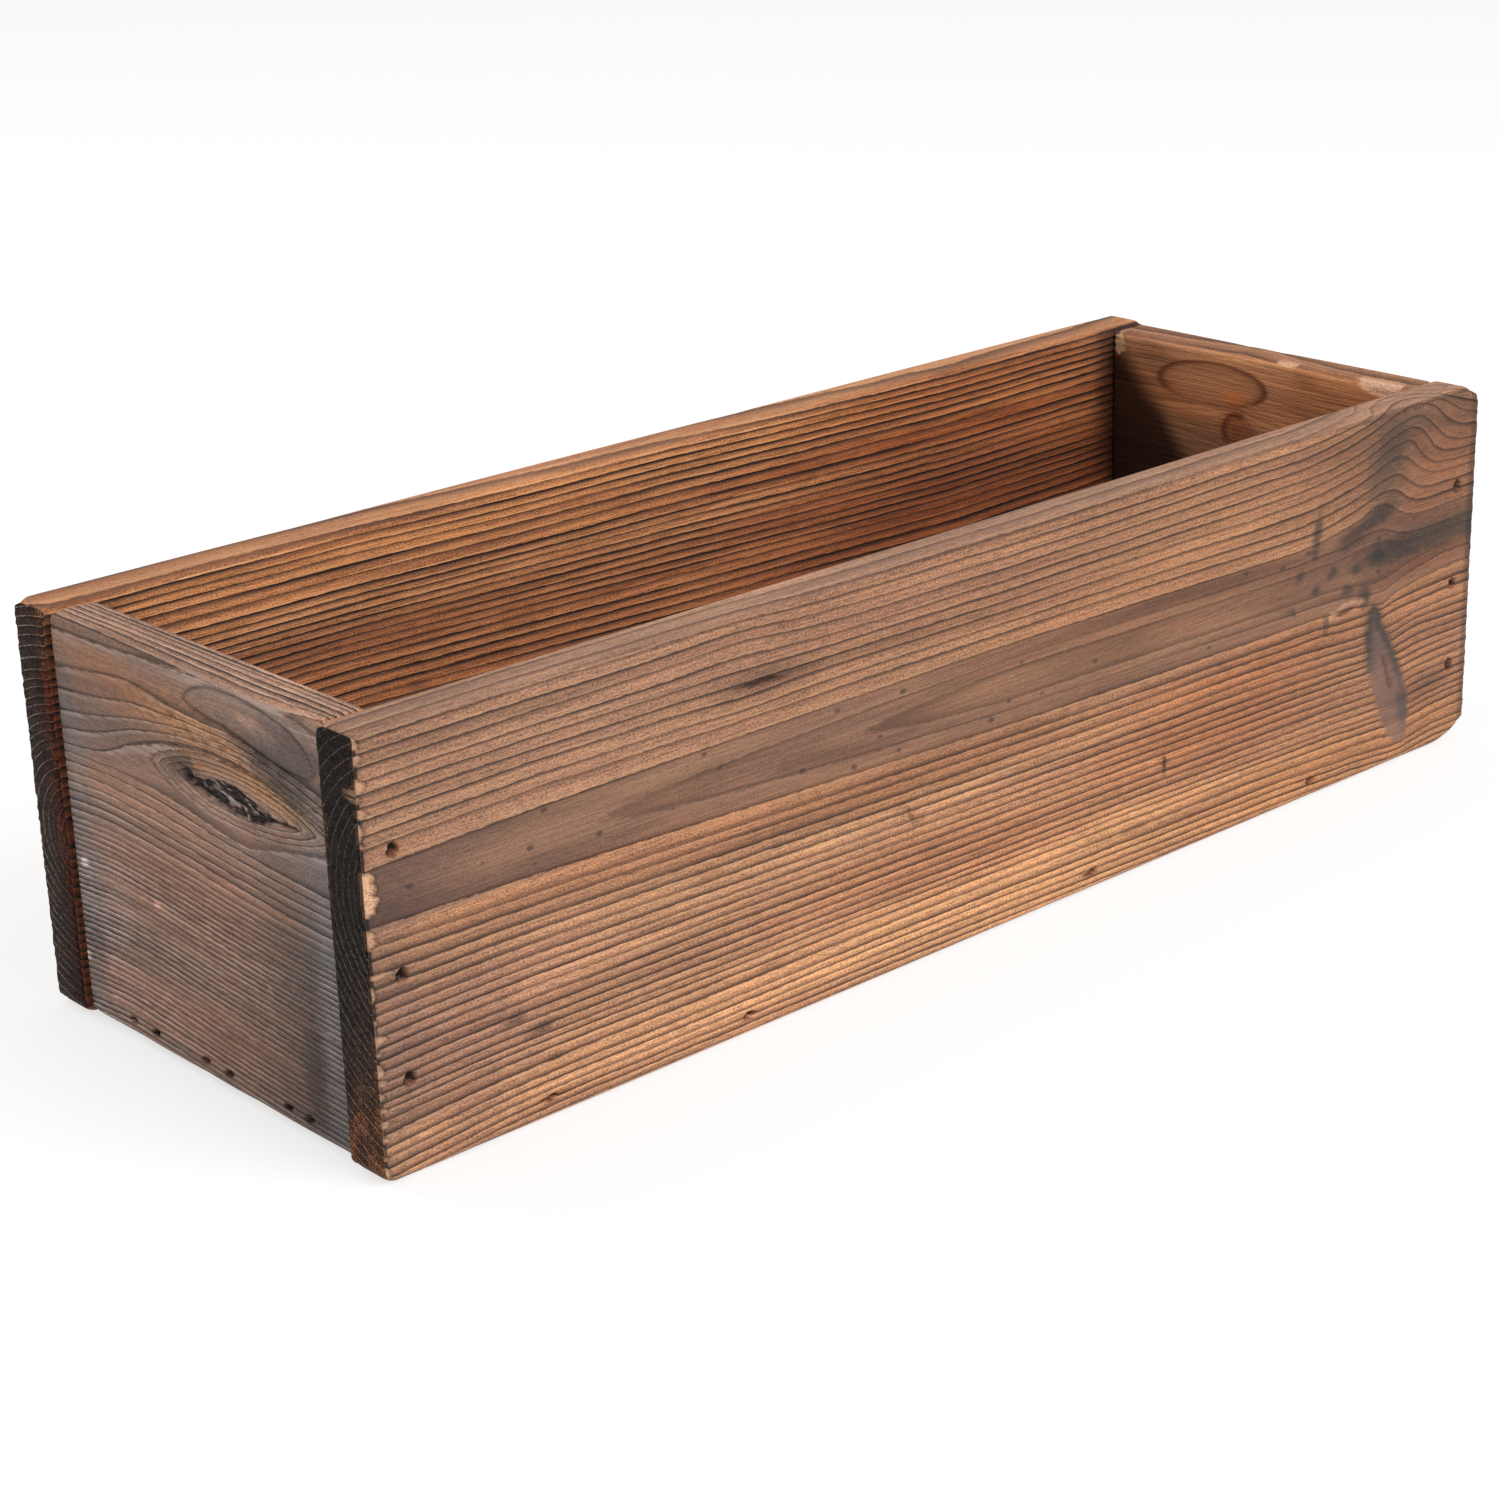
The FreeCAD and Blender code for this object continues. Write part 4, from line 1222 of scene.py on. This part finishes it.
facing_left = ((0, 1, 0, -end_face), (-1, 0, 0, 0), (0, 0, 1, 0))
left_board = add_board(
    "left_end_board_wood", left_mesh, (along, into, up), rings, left_surface, relief, facing_left)
end_colours = (
    (0.47, 0.255, 0.165), (0.3, 0.175, 0.12), (0.02, 0.014, 0.012), (0.25, 0.22, 0.21), (0.66, 0.52, 0.46))
end_wood = scorched_wood("end_board_wood", end_colours, 1.25, 0.4, 1.0, 80.0)
left_board.data.materials.append(end_wood)
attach(left_board, "root")
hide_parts("left_end_board")

# Right end board: the same stock, nailed in the same way. Inside, near the top, it shows a dark oval loop
# of grain over a red knot. Its lower inside corner is charred and darkened with painted shade, and its top
# arris is torn pale.
right_knot_place = (-7.0, 91.0)
right_knot_radius = 6.5
oval_place = (-18.0, 105.8)
oval_reach = (23.0, 7.4)
right_mesh, right_axes = blank_board("right_end_board_wood", end_along, end_into, end_up)
along, into, up = eased_board(right_axes, end_arris_radius, end_corner_radius, saw_cut_radius)
right_surface = plain_surface(right_axes)
on_end, on_face, on_inside, on_top = board_sides(right_axes, right_surface, into, up, end_face_edge)

# The grain parts round the knot. The knot's own rings are numbered from 300, and the oval is ring 200.
knot_run = along - right_knot_place[0]
knot_rise = up - right_knot_place[1]
around_knot = np.sqrt(knot_run**2 + knot_rise**2)
pushed = 9 * np.exp(-np.abs(knot_run) / 16) * np.exp(-np.abs(knot_rise) / 14) * np.tanh(knot_rise / 3)
wander = 0.4 * cloud(along, up, (40, 9), 61) + 0.1 * cloud(along, up, (9, 3), 62)
level = up - pushed + wander
rings = 120 - level / 2.3 + 0.09 * into
oval_run = (along - oval_place[0]) / oval_reach[0]
oval_rise = (up - oval_place[1] - 0.03 * along) / oval_reach[1]
oval = np.sqrt(oval_run**2 + oval_rise**2)
rings = np.where(around_knot < right_knot_radius, 300 + around_knot / 2.1, rings)
rings = np.where((oval < 1) & (into > end_thickness / 2), 200.1 + 0.7 * oval, rings)

oval_line = hill(oval, 1.0, 0.12, 0.05) * (1 - 0.6 * smooth(up, 103, 99)) * on_inside
right_inside_stains = (
    ((-16, 105), (22, 7), 0, amber, 0.5),
    ((-8, 102), (5, 2.5), 0, (1.5, 1.0, 0.5), 0.6),
    ((-7, 91), (6.5, 6), 0, (0.7, 0.4, 0.28), 0.8),
    ((28, 105), (24, 11), 0, (1.14, 1.14, 1.12), 0.9),
    ((22, 112), (5, 2), 0, soot, 0.4),
    ((34, 108), (7, 1.6), -6, soot, 0.35),
    ((-44, 112), (7, 3), 0, soot, 0.3),
    ((24, 97), (2.5, 4), 20, soot, 0.6),
    ((-30, 96), (22, 5), -20, (1.15, 0.95, 0.75), 0.5),
)
stain_all(right_surface, along, up, on_inside, right_inside_stains)
# Painted light: the inner side is lighter near the top, and most of all at its upper front, where the light
# falls
stain(right_surface, smooth(up, 88, 97) * on_inside, (1.32, 1.22, 1.12))
stain(right_surface, smooth(along, -45, -15) * smooth(up, 90, 97) * on_inside, (1.45, 1.45, 1.4))
stain(right_surface, smooth(along, 10, 20) * on_inside, (0.92, 0.86, 0.78))
stain(right_surface, 0.85 * oval_line, (0.3, 0.15, 0.1))
knot_rim = hill(around_knot, 5.6, 1.6, 0.7) * smooth(knot_rise - knot_run, -3, 4) * on_inside
stain(right_surface, 0.9 * knot_rim, (0.35, 0.16, 0.1))
right_surface["worn"] = 1.3 * on_inside
# Charring and painted shade darken the lower back corner of the inner side
char_and_shade_edge = 112 - 1.0 * (along + 55) + 4 * cloud(along, up, (14, 9), 63)
stain(right_surface, smooth(up, char_and_shade_edge, char_and_shade_edge - 14) * on_inside, (0.12, 0.1, 0.1))
right_face_stains = (
    ((-20, 40), (30, 20), 0, (1.1, 0.98, 0.92), 0.6),
    ((20, 96), (40, 8), 0, amber, 0.5),
    ((46, 60), (12, 40), 0, (0.7, 0.7, 0.72), 0.6),
    ((-10, 91), (4, 3.5), 0, (0.3, 0.2, 0.15), 0.9),
)
stain_all(right_surface, along, up, on_face, right_face_stains)
stain(right_surface, on_top, (1.3, 1.15, 1.05))
# Painted sheen: a grey haze near both ends of the outer face, and a little all over
drift = 5 * cloud(along, up, (9, 16), 64)
right_surface["haze"] = on_face * (0.15 + 0.45 * smooth(np.abs(along) + drift, 44, 62))

# Pale spots torn from the inner arris of its top edge
torn = np.maximum.reduce([
    patch(along, up, (-59, 113), (2.4, 3.4), 0, 0.15, 0.3),
    patch(along, up, (51, 115.8), (9, 2.4), -6, 0.12, 0.3),
    patch(along, up, (12, 117), (4, 0.9), 0, 0.2, 0.3),
]) * smooth(into, 9, 12)
right_surface["raw"] = torn
relief = ring_relief(rings, 0.13) * (1 - on_end) * (1 - 0.93 * on_inside) - 0.6 * torn
for place in end_floor_brads:
    sink_hole(right_surface, relief, along, up, on_face, (-place[0], place[1]), (1.9, 0.75), -14, 1.5)

facing_right = ((0, -1, 0, end_face), (-1, 0, 0, 0), (0, 0, 1, 0))
right_board = add_board(
    "right_end_board_wood", right_mesh, (along, into, up), rings, right_surface, relief, facing_right)
right_colours = (
    (0.4, 0.2, 0.1), (0.26, 0.12, 0.065), (0.07, 0.035, 0.022), (0.2, 0.175, 0.165), (0.42, 0.23, 0.13))
right_board.data.materials.append(scorched_wood("right_end_board_wood", right_colours, 0.85, 0.3, 0.4, 120.0))
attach(right_board, "root")
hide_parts("right_end_board")

# Floor planks: three thin sawn planks laid lengthwise with a drain gap on each side of the middle one.
# They are nailed through the front, the back and the end boards, and only lightly scorched.
plank_end = 201.0
plank_thickness = 10.0
plank_top = 11.0
plank_width = 38.0
plank_arris_radius = 1.0
plank_corner_radius = 1.5
plank_saw_cut_radius = 0.8
plank_pith_depth = 16
plank_ring_width = 2.7
plank_places = {"front_floor_plank": -62.0, "middle_floor_plank": -19.0, "back_floor_plank": 24.0}
plank_pith_heights = {"front_floor_plank": 9.0, "middle_floor_plank": 52.0, "back_floor_plank": 24.0}
plank_colours = (
    (0.5, 0.28, 0.155), (0.33, 0.175, 0.1), (0.1, 0.05, 0.032), (0.19, 0.13, 0.12), (0.56, 0.33, 0.2))
plank_wood = scorched_wood("floor_plank_wood", plank_colours, 0.8, 0.2, 0.3, 160.0)
plank_along = stops(-plank_end, (-199, 0.5), (199, 6), (plank_end, 0.5))
plank_into = stops(0, (1, 0.5), (9, 2), (plank_thickness, 0.5))
plank_across = stops(0, (plank_width, 0.5))
for seed, (name, start) in enumerate(plank_places.items()):
    mesh, axes = blank_board(name + "_wood", plank_along, plank_into, plank_across)
    along, into, across = eased_board(axes, plank_arris_radius, plank_corner_radius, plank_saw_cut_radius)
    wander = 0.5 * cloud(along, across, (70, 12), 71 + seed) + 0.02 * along
    from_pith = across - plank_pith_heights[name] + wander
    radius = np.sqrt(from_pith**2 + (plank_pith_depth + 0.02 * along + into) ** 2)
    rings = radius / plank_ring_width + 50 * seed
    surface = plain_surface(axes)
    middle = (60 * seed - 90, 18)
    stain(surface, 0.5 * patch(along, across, middle, (90, 12), 2, 0.8), soot)
    stain(surface, 0.4 * patch(along, across, (-middle[0], 22), (60, 10), -2, 0.8), amber)
    stain(surface, 0.5 * smooth(np.abs(along), 185, 200), soot)
    saw_marks = 0.04 * np.sin(along * 1.9 + 0.2 * across) * smooth(into, 8, 9.5)
    relief = ring_relief(rings, 0.07) + saw_marks - 0.04
    lying = ((1, 0, 0, 0), (0, 0, 1, start), (0, -1, 0, plank_top))
    plank = add_board(name + "_wood", mesh, (along, into, across), rings, surface, relief, lying)
    plank.data.materials.append(plank_wood)
    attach(plank, "root")
    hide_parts(name)

# Brads: flat galvanised wire with T heads, shot in below the wood's face. The torch and the weather have
# left them dull and brown. These are the solids themselves, with their metal's finish.
zinc_grey = (0.12, 0.115, 0.11)
rust_brown = (0.07, 0.032, 0.018)
steel = bpy.data.materials.new("weathered_brad_steel")
steel_tree = empty_tree(steel)
steel_place = node_of(steel_tree, "ShaderNodeTexCoord").outputs["Object"]
steel_noise = fibres(steel_tree, steel_place, (1400, 1400, 1400), 3.0, 5.0)
steel_surface = node_of(steel_tree, "ShaderNodeBsdfPrincipled")
steel_bump = node_of(steel_tree, "ShaderNodeBump")
steel_bump.inputs["Distance"].default_value = 0.00005
steel_colour = blend(steel_tree, ranged(steel_tree, steel_noise, 0.42, 0.6), zinc_grey, rust_brown)
steel_out = node_of(steel_tree, "ShaderNodeOutputMaterial")
wire(
    steel_tree,
    (steel_colour, steel_surface.inputs["Base Color"]),
    (ranged(steel_tree, steel_noise, 0.4, 0.6, 0.9, 0.2), steel_surface.inputs["Metallic"]),
    (ranged(steel_tree, steel_noise, 0.4, 0.6, 0.4, 0.8), steel_surface.inputs["Roughness"]),
    (steel_noise, steel_bump.inputs["Height"]),
    (steel_bump.outputs[0], steel_surface.inputs["Normal"]),
    (steel_surface.outputs[0], steel_out.inputs["Surface"]),
)
brad_rows = [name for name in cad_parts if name.endswith("_brads")]
for name in brad_rows:
    for slot in bpy.data.objects[name].material_slots:
        slot.material = steel
